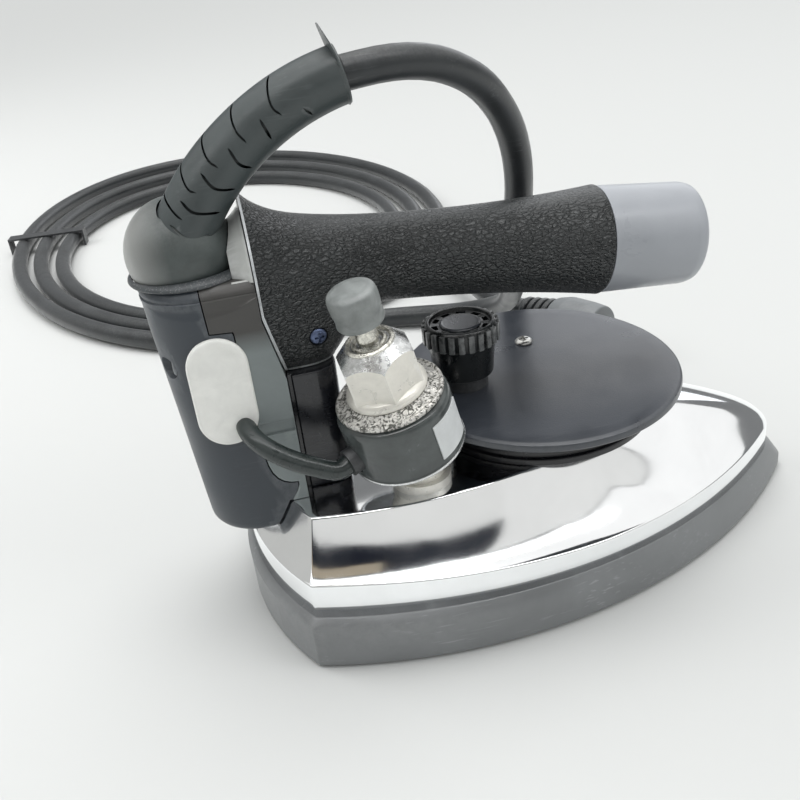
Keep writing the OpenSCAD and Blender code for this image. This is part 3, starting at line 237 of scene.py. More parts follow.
def flowing(points, step):
    """A smooth line through the points, sampled every step millimetres."""
    pts = [Vector(p) for p in points]
    pts = [2 * pts[0] - pts[1]] + pts + [2 * pts[-1] - pts[-2]]
    out = []
    for p0, p1, p2, p3 in zip(pts, pts[1:], pts[2:], pts[3:]):
        n = max(1, round((p2 - p1).length / step))
        for k in range(n):
            t = k / n
            out.append(0.5 * (2 * p1 + (p2 - p0) * t + (2 * p0 - 5 * p1 + 4 * p2 - p3) * t * t
                              + (3 * p1 - p0 - 3 * p2 + p3) * t ** 3))
    out.append(pts[-2])
    return out


# ---------------------------------------------------------------- camera, floor and light

def look_from(name, place, target, roll, lens):
    """A camera that looks at the target and is rolled about its view, in millimetres and radians."""
    place, target = Vector(place), Vector(target)
    view = (target - place).normalized()
    right = view.cross(Z).normalized()
    up = right.cross(view)
    rolled_right = math.cos(roll) * right + math.sin(roll) * up
    rolled_up = -math.sin(roll) * right + math.cos(roll) * up
    data = bpy.data.cameras.new(name)
    data.lens = lens
    data.sensor_width = 36
    data.clip_start = 0.01
    data.clip_end = 20
    camera = bpy.data.objects.new(name, data)
    turn = Matrix((rolled_right, rolled_up, -view)).transposed().to_4x4()
    camera.matrix_world = Matrix.Translation(place * MM) @ turn
    bpy.context.scene.collection.objects.link(camera)
    bpy.context.scene.camera = camera


look_from("photo_camera", (-90.624, -267.851, 210.68), (-41.462, 8.668, 54.969), -0.121, 41.47)
bpy.context.scene.view_settings.view_transform = "Standard"


def node_tree(name):
    material = bpy.data.materials.new(name)
    material.use_nodes = True
    tree = material.node_tree
    tree.nodes.clear()
    return material, tree


def pale_paint(name, colour, glow):
    """Pale paint that takes the object's shadow and looks a little brighter in a bright finish."""
    material, tree = node_tree(name)
    add, link = tree.nodes.new, tree.links.new
    out = add("ShaderNodeOutputMaterial")
    paint = add("ShaderNodeBsdfPrincipled")
    paint.inputs["Base Color"].default_value = (*colour, 1)
    paint.inputs["Roughness"].default_value = 0.8
    paint.inputs["Specular IOR Level"].default_value = 0.1
    shine = add("ShaderNodeEmission")
    shine.inputs["Color"].default_value = (*colour, 1)
    path = add("ShaderNodeLightPath")
    strength = add("ShaderNodeMath")
    strength.operation = "MULTIPLY"
    strength.inputs[1].default_value = glow
    link(path.outputs["Is Glossy Ray"], strength.inputs[0])
    link(strength.outputs[0], shine.inputs["Strength"])
    both = add("ShaderNodeAddShader")
    link(paint.outputs[0], both.inputs[0])
    link(shine.outputs[0], both.inputs[1])
    link(both.outputs[0], out.inputs["Surface"])
    return material


floor_bm = bmesh.new()
bmesh.ops.create_grid(floor_bm, x_segments=2, y_segments=2, size=6)
floor_mesh = bpy.data.meshes.new("floor")
floor_bm.to_mesh(floor_mesh)
floor_bm.free()
floor = bpy.data.objects.new("floor", floor_mesh)
floor_mesh.materials.append(pale_paint("pale_floor", (0.57, 0.577, 0.567), 0.45))
bpy.context.scene.collection.objects.link(floor)
floor.location.z = -0.0003

world = bpy.data.worlds.new("studio")
bpy.context.scene.world = world
world.use_nodes = True
sky = world.node_tree.nodes["Background"]
sky.inputs["Color"].default_value = (0.93, 0.95, 0.96, 1)
sky.inputs["Strength"].default_value = 0.55
seen_sky = world.node_tree.nodes.new("ShaderNodeBackground")
seen_sky.inputs["Color"].default_value = (0.79, 0.81, 0.795, 1)
seen_sky.inputs["Strength"].default_value = 1.0
which_sky = world.node_tree.nodes.new("ShaderNodeMixShader")
sky_path = world.node_tree.nodes.new("ShaderNodeLightPath")
world.node_tree.links.new(sky_path.outputs["Is Camera Ray"], which_sky.inputs[0])
sky_strength = world.node_tree.nodes.new("ShaderNodeMath")
sky_strength.operation = "MULTIPLY_ADD"
sky_strength.inputs[1].default_value = -0.3
sky_strength.inputs[2].default_value = 0.55
world.node_tree.links.new(sky_path.outputs["Is Glossy Ray"], sky_strength.inputs[0])
world.node_tree.links.new(sky_strength.outputs[0], sky.inputs["Strength"])
world.node_tree.links.new(sky.outputs[0], which_sky.inputs[1])
world.node_tree.links.new(seen_sky.outputs[0], which_sky.inputs[2])
world.node_tree.links.new(which_sky.outputs[0], world.node_tree.nodes["World Output"].inputs["Surface"])


def lamp(name, place, target, size, power, colour=(1, 1, 1)):
    data = bpy.data.lights.new(name, "AREA")
    data.shape = "RECTANGLE"
    data.size, data.size_y = size
    data.energy = power
    data.color = colour
    ob = bpy.data.objects.new(name, data)
    ob.location = place
    ob.rotation_mode = "QUATERNION"
    ob.rotation_quaternion = (Vector(target) - Vector(place)).to_track_quat("-Z", "Y")
    ob.visible_glossy = False
    bpy.context.scene.collection.objects.link(ob)


lamp("front_right", (0.95, -0.6, 0.75), (0, 0, 0.05), (0.7, 0.7), 4)
lamp("rear_left", (-0.9, 0.5, 0.8), (-0.05, 0, 0.08), (0.7, 0.6), 6)
daylight = bpy.data.lights.new("soft_daylight", "SUN")
daylight.energy = 2.3
daylight.angle = math.radians(48)
daylight_ob = bpy.data.objects.new("soft_daylight", daylight)
daylight_ob.rotation_mode = "QUATERNION"
daylight_ob.rotation_quaternion = Vector((-0.1, -0.32, -1.25)).to_track_quat("-Z", "Y")
bpy.context.scene.collection.objects.link(daylight_ob)


def studio_card(name, place, target, size, colour, strength=1.0):
    """A plain card that only the bright finishes mirror."""
    card_bm = bmesh.new()
    bmesh.ops.create_grid(card_bm, x_segments=1, y_segments=1, size=0.5)
    bmesh.ops.scale(card_bm, vec=(*size, 1), verts=card_bm.verts)
    mesh = bpy.data.meshes.new(name)
    card_bm.to_mesh(mesh)
    card_bm.free()
    material, tree = node_tree(name)
    out = tree.nodes.new("ShaderNodeOutputMaterial")
    shine = tree.nodes.new("ShaderNodeEmission")
    shine.inputs["Color"].default_value = (*colour, 1)
    shine.inputs["Strength"].default_value = strength
    tree.links.new(shine.outputs[0], out.inputs["Surface"])
    mesh.materials.append(material)
    card = bpy.data.objects.new(name, mesh)
    card.location = place
    card.rotation_mode = "QUATERNION"
    card.rotation_quaternion = (Vector(target) - Vector(place)).to_track_quat("Z", "Y")
    card.visible_camera = card.visible_diffuse = card.visible_shadow = False
    card.visible_transmission = card.visible_volume_scatter = False
    bpy.context.scene.collection.objects.link(card)


studio_card("ceiling_card", (0.7, 0.55, 1.5), (0.7, 0.55, 0), (6.0, 2.65), (1, 1, 0.99), 1.15)
studio_card("dark_wall_card", (-0.75, -1.1, 1.6), (-0.75, 0, 1.6), (2.9, 0.9), (0.01, 0.013, 0.022))
studio_card("warm_strip_card", (-1.1, -1.08, 1.72), (-1.1, 0, 1.72), (2.0, 0.5), (0.42, 0.36, 0.27))
studio_card("light_wall_card", (2.05, -1.1, 1.2), (2.05, 0, 1.2), (2.7, 1.7), (0.95, 0.95, 0.93), 0.95)
studio_card("low_wall_card", (-0.75, -1.1, 0.75), (-0.75, 0, 0.75), (2.9, 0.8), (0.85, 0.85, 0.83))
studio_card("left_wall_card", (-1.9, 0.5, 0.75), (0, 0.5, 0.75), (2.6, 1.3), (0.62, 0.62, 0.6))
studio_card("window_card", (-0.1, -0.55, 1.4), (-0.1, -0.55, 0), (2.6, 0.2), (1, 1, 1), 8)
studio_card("rear_right_card", (1.35, 2.0, 0.95), (0, 0, 0.05), (1.6, 1.1), (0.95, 0.97, 1), 1.8)


# ---------------------------------------------------------------- finishes

def group(name, inputs, outputs):
    tree = bpy.data.node_groups.new(name, "ShaderNodeTree")
    for label, kind, default in inputs:
        socket = tree.interface.new_socket(name=label, in_out="INPUT", socket_type=kind)
        socket.default_value = default
    for label, kind in outputs:
        tree.interface.new_socket(name=label, in_out="OUTPUT", socket_type=kind)
    return tree, tree.nodes.new("NodeGroupInput"), tree.nodes.new("NodeGroupOutput")


FLOAT, COLOR = "NodeSocketFloat", "NodeSocketColor"


def object_place(tree):
    """Object coordinates in millimetres, centred on the iron."""
    where = tree.nodes.new("ShaderNodeTexCoord")
    centre = tree.nodes.new("ShaderNodeMapping")
    centre.vector_type = "POINT"
    centre.inputs["Scale"].default_value = (1000, 1000, 1000)
    tree.links.new(where.outputs["Object"], centre.inputs["Vector"])
    return centre.outputs["Vector"]


def math_node(tree, operation, a, b=None, c=None):
    node = tree.nodes.new("ShaderNodeMath")
    node.operation = operation
    for socket, value in zip(node.inputs, (a, b, c)):
        if value is None:
            continue
        if isinstance(value, (int, float)):
            socket.default_value = value
        else:
            tree.links.new(value, socket)
    return node.outputs[0]


def noise_node(tree, vector, scale, detail=3, rough=0.5, distortion=0.0):
    node = tree.nodes.new("ShaderNodeTexNoise")
    tree.links.new(vector, node.inputs["Vector"])
    if isinstance(scale, (int, float)):
        node.inputs["Scale"].default_value = scale
    else:
        tree.links.new(scale, node.inputs["Scale"])
    node.inputs["Detail"].default_value = detail
    node.inputs["Roughness"].default_value = rough
    node.inputs["Distortion"].default_value = distortion
    return node.outputs["Fac"]


def range_node(tree, value, low, high, to_low=0.0, to_high=1.0):
    node = tree.nodes.new("ShaderNodeMapRange")
    tree.links.new(value, node.inputs["Value"])
    for label, number in (("From Min", low), ("From Max", high), ("To Min", to_low), ("To Max", to_high)):
        if isinstance(number, (int, float)):
            node.inputs[label].default_value = number
        else:
            tree.links.new(number, node.inputs[label])
    return node.outputs["Result"]


def make_grain():
    """Fine moulded or cast grain, as a height of 0 to 1. Size is in millimetres."""
    tree, inp, out = group("fine_grain", [("Size", FLOAT, 0.5)], [("Height", FLOAT)])
    scale = math_node(tree, "DIVIDE", 1.0, inp.outputs["Size"])
    height = noise_node(tree, object_place(tree), scale, 4, 0.6)
    tree.links.new(height, out.inputs["Height"])
    return tree


def make_patches():
    """Broad, soft patches such as handling marks and uneven gloss, as a mask of 0 to 1."""
    tree, inp, out = group("soft_patches", [("Size", FLOAT, 20.0)], [("Mask", FLOAT)])
    scale = math_node(tree, "DIVIDE", 1.0, inp.outputs["Size"])
    mask = noise_node(tree, object_place(tree), scale, 5, 0.62, 0.4)
    tree.links.new(range_node(tree, mask, 0.34, 0.66), out.inputs["Mask"])
    return tree


def make_leather():
    """Wrinkled leather pattern on the grip, as a height of 0 to 1. Size is in millimetres."""
    tree, inp, out = group("leather_wrinkle", [("Size", FLOAT, 2.0)], [("Height", FLOAT), ("Crease", FLOAT)])
    place = object_place(tree)
    warp = tree.nodes.new("ShaderNodeTexNoise")
    warp.inputs["Scale"].default_value = 0.42
    warp.inputs["Detail"].default_value = 2
    tree.links.new(place, warp.inputs["Vector"])
    shift = tree.nodes.new("ShaderNodeVectorMath")
    shift.operation = "MULTIPLY_ADD"
    shift.inputs[1].default_value = (2.4, 2.4, 2.4)
    tree.links.new(warp.outputs["Color"], shift.inputs[0])
    tree.links.new(place, shift.inputs[2])
    long_way = tree.nodes.new("ShaderNodeMapping")
    long_way.inputs["Rotation"].default_value = (0, math.radians(6), 0)
    long_way.inputs["Scale"].default_value = (0.5, 1, 1.15)
    tree.links.new(shift.outputs["Vector"], long_way.inputs["Vector"])
    cells = tree.nodes.new("ShaderNodeTexVoronoi")
    cells.feature = "DISTANCE_TO_EDGE"
    tree.links.new(long_way.outputs["Vector"], cells.inputs["Vector"])
    tree.links.new(math_node(tree, "DIVIDE", 1.0, inp.outputs["Size"]), cells.inputs["Scale"])
    pebble = range_node(tree, cells.outputs["Distance"], 0.0, 0.26)
    bulge = math_node(tree, "POWER", pebble, 0.6)
    fine = noise_node(tree, place, 2.6, 3, 0.6)
    height = math_node(tree, "MULTIPLY_ADD", fine, 0.22, bulge)
    tree.links.new(height, out.inputs["Height"])
    tree.links.new(range_node(tree, cells.outputs["Distance"], 0.0, 0.1, 1.0, 0.0), out.inputs["Crease"])
    return tree


def make_scratches():
    """Fine scratches along the iron, as a mask of 0 to 1."""
    tree, inp, out = group("fine_scratches", [("Size", FLOAT, 1.0), ("Amount", FLOAT, 0.5)], [("Mask", FLOAT)])
    place = object_place(tree)
    stretch = tree.nodes.new("ShaderNodeMapping")
    stretch.inputs["Rotation"].default_value = (0.3, 0.12, 0.5)
    stretch.inputs["Scale"].default_value = (0.05, 1.2, 1.2)
    tree.links.new(place, stretch.inputs["Vector"])
    scale = math_node(tree, "DIVIDE", 1.0, inp.outputs["Size"])
    streak = noise_node(tree, stretch.outputs["Vector"], scale, 2, 0.5)
    thin = range_node(tree, streak, 0.6, 0.68)
    where = range_node(tree, noise_node(tree, place, 0.06, 3), 0.45, 0.65)
    tree.links.new(math_node(tree, "MULTIPLY", math_node(tree, "MULTIPLY", thin, where), inp.outputs["Amount"]),
                   out.inputs["Mask"])
    return tree


def make_dust():
    """Light dust on faces that look up, broken by noise, as a mask of 0 to 1."""
    tree, inp, out = group("settled_dust", [("Amount", FLOAT, 0.3)], [("Mask", FLOAT)])
    facing = tree.nodes.new("ShaderNodeNewGeometry")
    split = tree.nodes.new("ShaderNodeSeparateXYZ")
    tree.links.new(facing.outputs["Normal"], split.inputs[0])
    up = range_node(tree, split.outputs["Z"], 0.1, 0.95)
    specks = range_node(tree, noise_node(tree, object_place(tree), 0.9, 5, 0.75), 0.42, 0.75)
    tree.links.new(math_node(tree, "MULTIPLY", math_node(tree, "MULTIPLY", up, specks), inp.outputs["Amount"]),
                   out.inputs["Mask"])
    return tree


def make_worn_edges():
    """Rubbed convex edges, as a mask of 0 to 1."""
    tree, inp, out = group("worn_edges", [("Amount", FLOAT, 0.5)], [("Mask", FLOAT)])
    shape = tree.nodes.new("ShaderNodeNewGeometry")
    edge = range_node(tree, shape.outputs["Pointiness"], 0.52, 0.6)
    broken = range_node(tree, noise_node(tree, object_place(tree), 0.35, 5, 0.7), 0.35, 0.6, 0.25, 1.0)
    tree.links.new(math_node(tree, "MULTIPLY", math_node(tree, "MULTIPLY", edge, broken), inp.outputs["Amount"]),
                   out.inputs["Mask"])
    return tree


GRAIN, PATCHES, LEATHER = make_grain(), make_patches(), make_leather()
SCRATCHES, DUST, WORN = make_scratches(), make_dust(), make_worn_edges()


def place_group(tree, made, **values):
    node = tree.nodes.new("ShaderNodeGroup")
    node.node_tree = made
    for label, value in values.items():
        node.inputs[label].default_value = value
    return node


def blend_colour(tree, mask, below, above, blend="MIX"):
    node = tree.nodes.new("ShaderNodeMix")
    node.data_type = "RGBA"
    node.blend_type = blend
    for label, value in ((6, below), (7, above)):
        if isinstance(value, tuple):
            node.inputs[label].default_value = (*value[:3], 1)
        else:
            tree.links.new(value, node.inputs[label])
    if isinstance(mask, (int, float)):
        node.inputs[0].default_value = mask
    else:
        tree.links.new(mask, node.inputs[0])
    return node.outputs[2]


def finish(name, colour, rough=0.45, metal=0.0, tone=0.12, patch=18.0, grain=0.5, bump=0.02, wear=None,
           worn=0.0, dust=0.0, scratch=0.0, gloss_spread=0.08, coat=0.0, specular=0.5, sheen=0.0,
           extra=None):
    """A finish with uneven tone, uneven gloss, grain, worn edges, scratches and dust."""
    material, tree = node_tree(name)
    link = tree.links.new
    out = tree.nodes.new("ShaderNodeOutputMaterial")
    body = tree.nodes.new("ShaderNodeBsdfPrincipled")
    link(body.outputs[0], out.inputs["Surface"])
    body.inputs["Metallic"].default_value = metal
    body.inputs["Coat Weight"].default_value = coat
    body.inputs["Coat Roughness"].default_value = 0.12
    body.inputs["Specular IOR Level"].default_value = specular
    body.inputs["Sheen Weight"].default_value = sheen
    patches = place_group(tree, PATCHES, Size=patch).outputs["Mask"]
    shade = tuple(c * (1 - tone) for c in colour)
    light = tuple(min(1.0, c * (1 + tone) + 0.002) for c in colour)
    hue = blend_colour(tree, patches, shade, light)
    roughness = range_node(tree, patches, 0.0, 1.0, clamp(rough - gloss_spread, 0.02), clamp(rough + gloss_spread))
    if worn:
        mask = place_group(tree, WORN, Amount=worn).outputs["Mask"]
        hue = blend_colour(tree, mask, hue, wear or tuple(min(1, c * 2 + 0.1) for c in colour))
    if scratch:
        mask = place_group(tree, SCRATCHES, Size=1.0, Amount=scratch).outputs["Mask"]
        hue = blend_colour(tree, mask, hue, tuple(min(1, c * 1.6 + 0.12) for c in colour))
        roughness = math_node(tree, "MULTIPLY_ADD", mask, 0.25, roughness)
    if dust:
        mask = place_group(tree, DUST, Amount=dust).outputs["Mask"]
        hue = blend_colour(tree, mask, hue, (0.52, 0.52, 0.5))
        roughness = math_node(tree, "MULTIPLY_ADD", mask, 0.3, roughness)
    height = place_group(tree, GRAIN, Size=grain).outputs["Height"]
    relief = tree.nodes.new("ShaderNodeBump")
    relief.inputs["Strength"].default_value = 1.0
    relief.inputs["Distance"].default_value = bump * MM
    if extra:
        hue, roughness, height = extra(tree, hue, roughness, height)
    link(height, relief.inputs["Height"])
    link(relief.outputs["Normal"], body.inputs["Normal"])
    link(hue, body.inputs["Base Color"])
    link(math_node(tree, "MINIMUM", roughness, 1.0), body.inputs["Roughness"])
    return material


def leather_relief(tree, hue, roughness, height):
    """Wrinkles in the leather, which fade out along the top of the handle. The creases are painted darker as shade."""
    wrinkle = place_group(tree, LEATHER, Size=1.25)
    facing = tree.nodes.new("ShaderNodeNewGeometry")
    split = tree.nodes.new("ShaderNodeSeparateXYZ")
    tree.links.new(facing.outputs["Normal"], split.inputs[0])
    pressed = range_node(tree, split.outputs["Z"], 0.8, 0.97, 1.0, 0.2)
    crease = math_node(tree, "MULTIPLY", wrinkle.outputs["Crease"], pressed)
    # painted shade: the creases are darkened towards near-black
    crease_painted_shade = blend_colour(tree, math_node(tree, "MULTIPLY", crease, 0.6), hue, (0.006, 0.007, 0.008))
    bulge = math_node(tree, "MULTIPLY", wrinkle.outputs["Height"], pressed)
    return crease_painted_shade, math_node(tree, "MULTIPLY_ADD", crease, 0.12, roughness), math_node(tree, "MULTIPLY_ADD", bulge, 11.0, height)


def speckles(tree, hue, roughness, height):
    dots = tree.nodes.new("ShaderNodeTexVoronoi")
    dots.inputs["Scale"].default_value = 1.6
    tree.links.new(object_place(tree), dots.inputs["Vector"])
    mask = range_node(tree, dots.outputs["Distance"], 0.22, 0.34, 1.0, 0.0)
    return blend_colour(tree, math_node(tree, "MULTIPLY", mask, 0.4), hue, (0.26, 0.27, 0.27)), roughness, height


def painted_lit_side(tree, hue, roughness, height):
    """Painted light: the rubber is painted a lighter brown grey on its rear side, where light falls on it."""
    facing = tree.nodes.new("ShaderNodeNewGeometry")
    split = tree.nodes.new("ShaderNodeSeparateXYZ")
    tree.links.new(facing.outputs["Normal"], split.inputs[0])
    mask = range_node(tree, split.outputs["X"], -0.2, -0.85)
    # painted light: faces turned to the rear blend to a lighter brown grey
    return blend_colour(tree, mask, hue, (0.27, 0.275, 0.265)), roughness, height


def shaded_head(tree, hue, roughness, height):
    """The frame is darker and browner from its step up to the handle."""
    split = tree.nodes.new("ShaderNodeSeparateXYZ")
    tree.links.new(object_place(tree), split.inputs[0])
    mask = range_node(tree, split.outputs["Z"], 97.0, 104.0)
    return blend_colour(tree, mask, hue, (0.05, 0.048, 0.045)), roughness, height


def ring_marks(tree, hue, roughness, height):
    rough_noise = noise_node(tree, object_place(tree), 0.5, 4, 0.62, 2.2)
    mask = range_node(tree, rough_noise, 0.5, 0.56)
    hue = blend_colour(tree, mask, hue, (0.1, 0.1, 0.09))
    return hue, math_node(tree, "MULTIPLY_ADD", mask, 0.3, roughness), math_node(tree, "MULTIPLY_ADD", rough_noise, 5.0, height)


cast_alloy = finish("satin_casting", (0.185, 0.192, 0.196), rough=0.46, metal=0.25, tone=0.1, patch=34, grain=0.7,
                    bump=0.03, worn=0.5, wear=(0.5, 0.5, 0.49), scratch=0.35, specular=0.5)
chrome = finish("bright_chrome", (0.8, 0.81, 0.82), rough=0.095, metal=1.0, tone=0.03, patch=26, grain=2.5,
                bump=0.004, gloss_spread=0.03, scratch=0.05)
block_black = finish("black_phenolic", (0.004, 0.004, 0.006), rough=0.26, tone=0.2, grain=0.6, bump=0.015, dust=0.02)
shield_paint = finish("shield_enamel", (0.024, 0.029, 0.038), rough=0.33, tone=0.14, patch=30, grain=0.55, bump=0.05,
                      worn=0.3, wear=(0.16, 0.17, 0.19), scratch=0.1, specular=0.75)
knob_black = finish("knob_bakelite", (0.006, 0.008, 0.009), rough=0.28, tone=0.15, patch=6, worn=0.7,
                    wear=(0.36, 0.37, 0.37), dust=0.03)
column_grey = finish("column_moulding", (0.028, 0.036, 0.046), rough=0.42, tone=0.08, patch=26, grain=0.45, bump=0.018,
                     worn=0.25, wear=(0.2, 0.21, 0.22), scratch=0.08, dust=0.05)
frame_grey = finish("frame_moulding", (0.2, 0.228, 0.228), rough=0.45, tone=0.08, patch=20, grain=0.45, bump=0.018,
                    worn=0.25, scratch=0.08, extra=shaded_head)
flange_grey = finish("flange_moulding", (0.6, 0.61, 0.585), rough=0.42, tone=0.1, patch=9, grain=0.4, bump=0.03, worn=0.3)
gloss_black = finish("front_moulding", (0.011, 0.012, 0.016), rough=0.2, tone=0.2, patch=12, bump=0.01, scratch=0.08,
                     dust=0.06)
pad_white = finish("pad_frosted", (0.84, 0.84, 0.8), rough=0.5, tone=0.05, patch=7, grain=0.35, bump=0.02)
collar_speckled = finish("collar_moulding", (0.04, 0.046, 0.05), rough=0.42, patch=8, grain=0.4, bump=0.03,
                         worn=0.25, extra=speckles)
# The boot's rear side is painted lighter, as if lit, by its extra below.
boot_grey = finish("boot_rubber", (0.055, 0.066, 0.064), rough=0.4, tone=0.2, patch=11, grain=0.35, bump=0.02, dust=0.1,
                   extra=painted_lit_side)
relief_grey = finish("relief_rubber", (0.04, 0.05, 0.051), rough=0.42, tone=0.12, patch=14, grain=0.5, bump=0.015,
                     worn=0.2, wear=(0.3, 0.31, 0.31), scratch=0.1)
grip_rubber = finish("grip_leather_rubber", (0.017, 0.02, 0.021), rough=0.33, tone=0.15, patch=15, grain=0.4, bump=0.05,
                     dust=0.05, extra=leather_relief)
cap_grey = finish("cap_enamel", (0.32, 0.335, 0.36), rough=0.34, tone=0.04, patch=24, grain=0.8, bump=0.008)
cord_black = finish("cord_rubber", (0.009, 0.012, 0.014), rough=0.36, tone=0.2, patch=14, grain=0.8, bump=0.03,
                    scratch=0.2, dust=0.08, sheen=0.15)
housing_black = finish("coil_resin", (0.065, 0.074, 0.073), rough=0.2, tone=0.2, patch=9, grain=1.2, bump=0.02,
                       worn=0.35, wear=(0.32, 0.33, 0.33))
ring_metal = finish("struck_ring", (0.6, 0.59, 0.56), rough=0.38, metal=0.75, tone=0.2, patch=2.5, grain=0.5, bump=0.08,
                    extra=ring_marks)
hex_cream = finish("nut_cream", (0.72, 0.7, 0.64), rough=0.34, metal=0.3, tone=0.08, patch=5, grain=0.5, bump=0.02,
                   worn=0.4, wear=(0.85, 0.85, 0.83))
bare_metal = finish("bare_bright", (0.62, 0.63, 0.63), rough=0.24, metal=0.95, tone=0.2, patch=2.2, grain=0.5, bump=0.06,
                    scratch=0.4)
cap_rubber = finish("dust_cap_vinyl", (0.21, 0.225, 0.22), rough=0.36, tone=0.22, patch=6, grain=0.6, bump=0.01)
lead_sheath = finish("lead_sheath", (0.022, 0.03, 0.029), rough=0.3, tone=0.2, patch=6, grain=0.6, bump=0.02)
label_paper = finish("blank_label", (0.62, 0.64, 0.64), rough=0.55, tone=0.05, patch=5, grain=0.3, bump=0.01)
plug_grey = finish("plug_moulding", (0.13, 0.14, 0.145), rough=0.45, tone=0.1, patch=10, bump=0.02, dust=0.1)
screw_blue = finish("blued_screw", (0.1, 0.13, 0.22), rough=0.34, metal=0.7, tone=0.2, patch=2, worn=0.4)
screw_dark = finish("dark_screw", (0.14, 0.15, 0.16), rough=0.35, metal=0.7, tone=0.2, patch=2, worn=0.5)
plated = finish("plated_steel", (0.56, 0.56, 0.54), rough=0.3, metal=0.95, tone=0.1, patch=4, scratch=0.3, worn=0.3)
brass = finish("brass", (0.62, 0.5, 0.28), rough=0.32, metal=0.9, tone=0.12, patch=5, scratch=0.2, worn=0.3)
copper = finish("wound_copper", (0.5, 0.22, 0.1), rough=0.35, metal=0.85, tone=0.15, patch=4)
ceramic = finish("ceramic", (0.72, 0.7, 0.64), rough=0.5, tone=0.05, patch=6)
red_button = finish("red_button", (0.42, 0.045, 0.03), rough=0.28, tone=0.1, patch=4, worn=0.3)
black_plastic = finish("black_moulding", (0.022, 0.024, 0.026), rough=0.42, tone=0.15, patch=8, worn=0.25)
sheath = finish("element_sheath", (0.2, 0.185, 0.17), rough=0.55, metal=0.6, tone=0.25, patch=8, scratch=0.2)
gasket = finish("gasket_fibre", (0.66, 0.63, 0.55), rough=0.8, tone=0.08, patch=5, grain=0.3, bump=0.05)
# painted highlight: this light grey on the grip's edge bead stands in for the highlight on the sleeve's rim
bead_painted_highlight = finish("bead_painted_highlight", (0.55, 0.57, 0.58), rough=0.3, tone=0.25, patch=5, grain=0.6, bump=0.02)
boss_metal = finish("boss_metal", (0.58, 0.57, 0.52), rough=0.3, metal=0.85, tone=0.4, patch=1.3, grain=0.9, bump=0.12)
slot_dark = finish("slot_shadow", (0.006, 0.006, 0.007), rough=0.7, tone=0.1, patch=5)

for name, material in dict(
        heating_element=sheath, chamber_gasket=gasket, chamber_lid=cast_alloy, lid_screws=plated,
        thermostat_body=ceramic, thermal_cutout=plated, knob_bushing=black_plastic, thermostat_spindle=brass,
        column_screws=plated, terminal_block=ceramic, cord_clamp=black_plastic, core_tube=plated,
        grip_plug=cast_alloy, switch_body=black_plastic, switch_plunger=red_button, valve_body=hex_cream,
        inlet_tube=brass, valve_coil=copper, valve_tube=plated, valve_plunger=plated, plunger_spring=plated,
        button_ring=black_plastic, plug_pins=plated, cord_tie=black_plastic, lead_grommet=black_plastic).items():
    slots = nodes[name].data.materials
    if slots:
        for index in range(len(slots)):
            slots[index] = material
    else:
        slots.append(material)


# ---------------------------------------------------------------- mains cord, coil, tail and plug

CORD_D = 10.3
CORD_R = CORD_D / 2
RELIEF_ROOT_A, RELIEF_TURN, RELIEF_R = math.radians(27), math.radians(79), 76.0
RELIEF_LEAN, RELIEF_UPRIGHT = 5.0, math.radians(30)
BOOT_X, COLUMN_TOP = -101.0, 118.0
relief_root = Vector((BOOT_X - 0.5, 0, COLUMN_TOP + 8.5))
relief_mid = relief_root + RELIEF_R * Vector((math.cos(RELIEF_ROOT_A), 0, -math.sin(RELIEF_ROOT_A)))


def relief_point(a):
    """A point on the middle of the sleeve, which leans to the near side at its root."""
    lean = RELIEF_LEAN * (1 - smooth((a - RELIEF_ROOT_A) / RELIEF_UPRIGHT))
    return relief_mid + Vector((-RELIEF_R * math.cos(a), -lean, RELIEF_R * math.sin(a) + 0.42 * lean))


relief_tip = relief_point(RELIEF_TURN)
relief_way = Vector((math.sin(RELIEF_TURN), 0, math.cos(RELIEF_TURN)))

FALL = [(-38, 1, 167.3), (-28.5, 3.2, 166.7), (-19, 6.8, 164.3), (-10, 11.5, 159.8), (-2, 16.8, 153.6),
        (4.6, 22.2, 145.6), (9.8, 27.6, 136.4), (13.4, 32.8, 126.4), (15.6, 38, 116), (16.7, 43.2, 105.6),
        (17.4, 49, 95.4), (18.6, 56, 85.6), (20.8, 64.5, 76.4), (23.8, 74, 67.8), (27.2, 84.5, 59.6),
        (30.6, 95.6, 51.6), (33.8, 107, 43.8), (36.6, 118.6, 36.2), (38.6, 130.4, 28.9), (39, 142.2, 22.2),
        (36.5, 153.8, 16.2), (31, 164.6, 11.4), (22.5, 173.8, 8), (12, 181.2, 6.2), (0, 186.8, 5.4),
        (-13, 190.8, 5.15), (-27, 193.6, 5.15), (-42, 195.4, 5.15), (-57, 196.3, 5.15)]
TAIL = [(31.9, 336, 7.6), (32, 325, 11.6), (32.3, 313.5, 15.3), (32.8, 302, 17), (33.5, 290, 17.2),
        (34.4, 278, 16.7), (35.4, 266, 16.6), (36.5, 254, 16.6), (37.6, 242, 16.3), (38.7, 230, 15.4),
        (39.7, 218, 14.2), (40.7, 206, 13.1), (41.7, 194, 12.5), (43, 182, 12.4), (45.2, 170.5, 12.7)]
COIL_TURNS, COIL_START = 2.75, 255
PLUG_AT, PLUG_WAY = Vector((55, 150, 13)), Vector((0.5, -math.sqrt(0.75), 0))


def oval(angle, turn):
    """A point of the coil on the table: an oval that winds inwards."""
    a, tilt = math.radians(angle), math.radians(9)
    u = (156 - 16 * turn) * math.cos(a)
    v = (226 - 28 * turn) * math.sin(a)
    return Vector((-80 + u * math.cos(tilt) - v * math.sin(tilt),
                   418 - 12 * turn + u * math.sin(tilt) + v * math.cos(tilt), CORD_R))


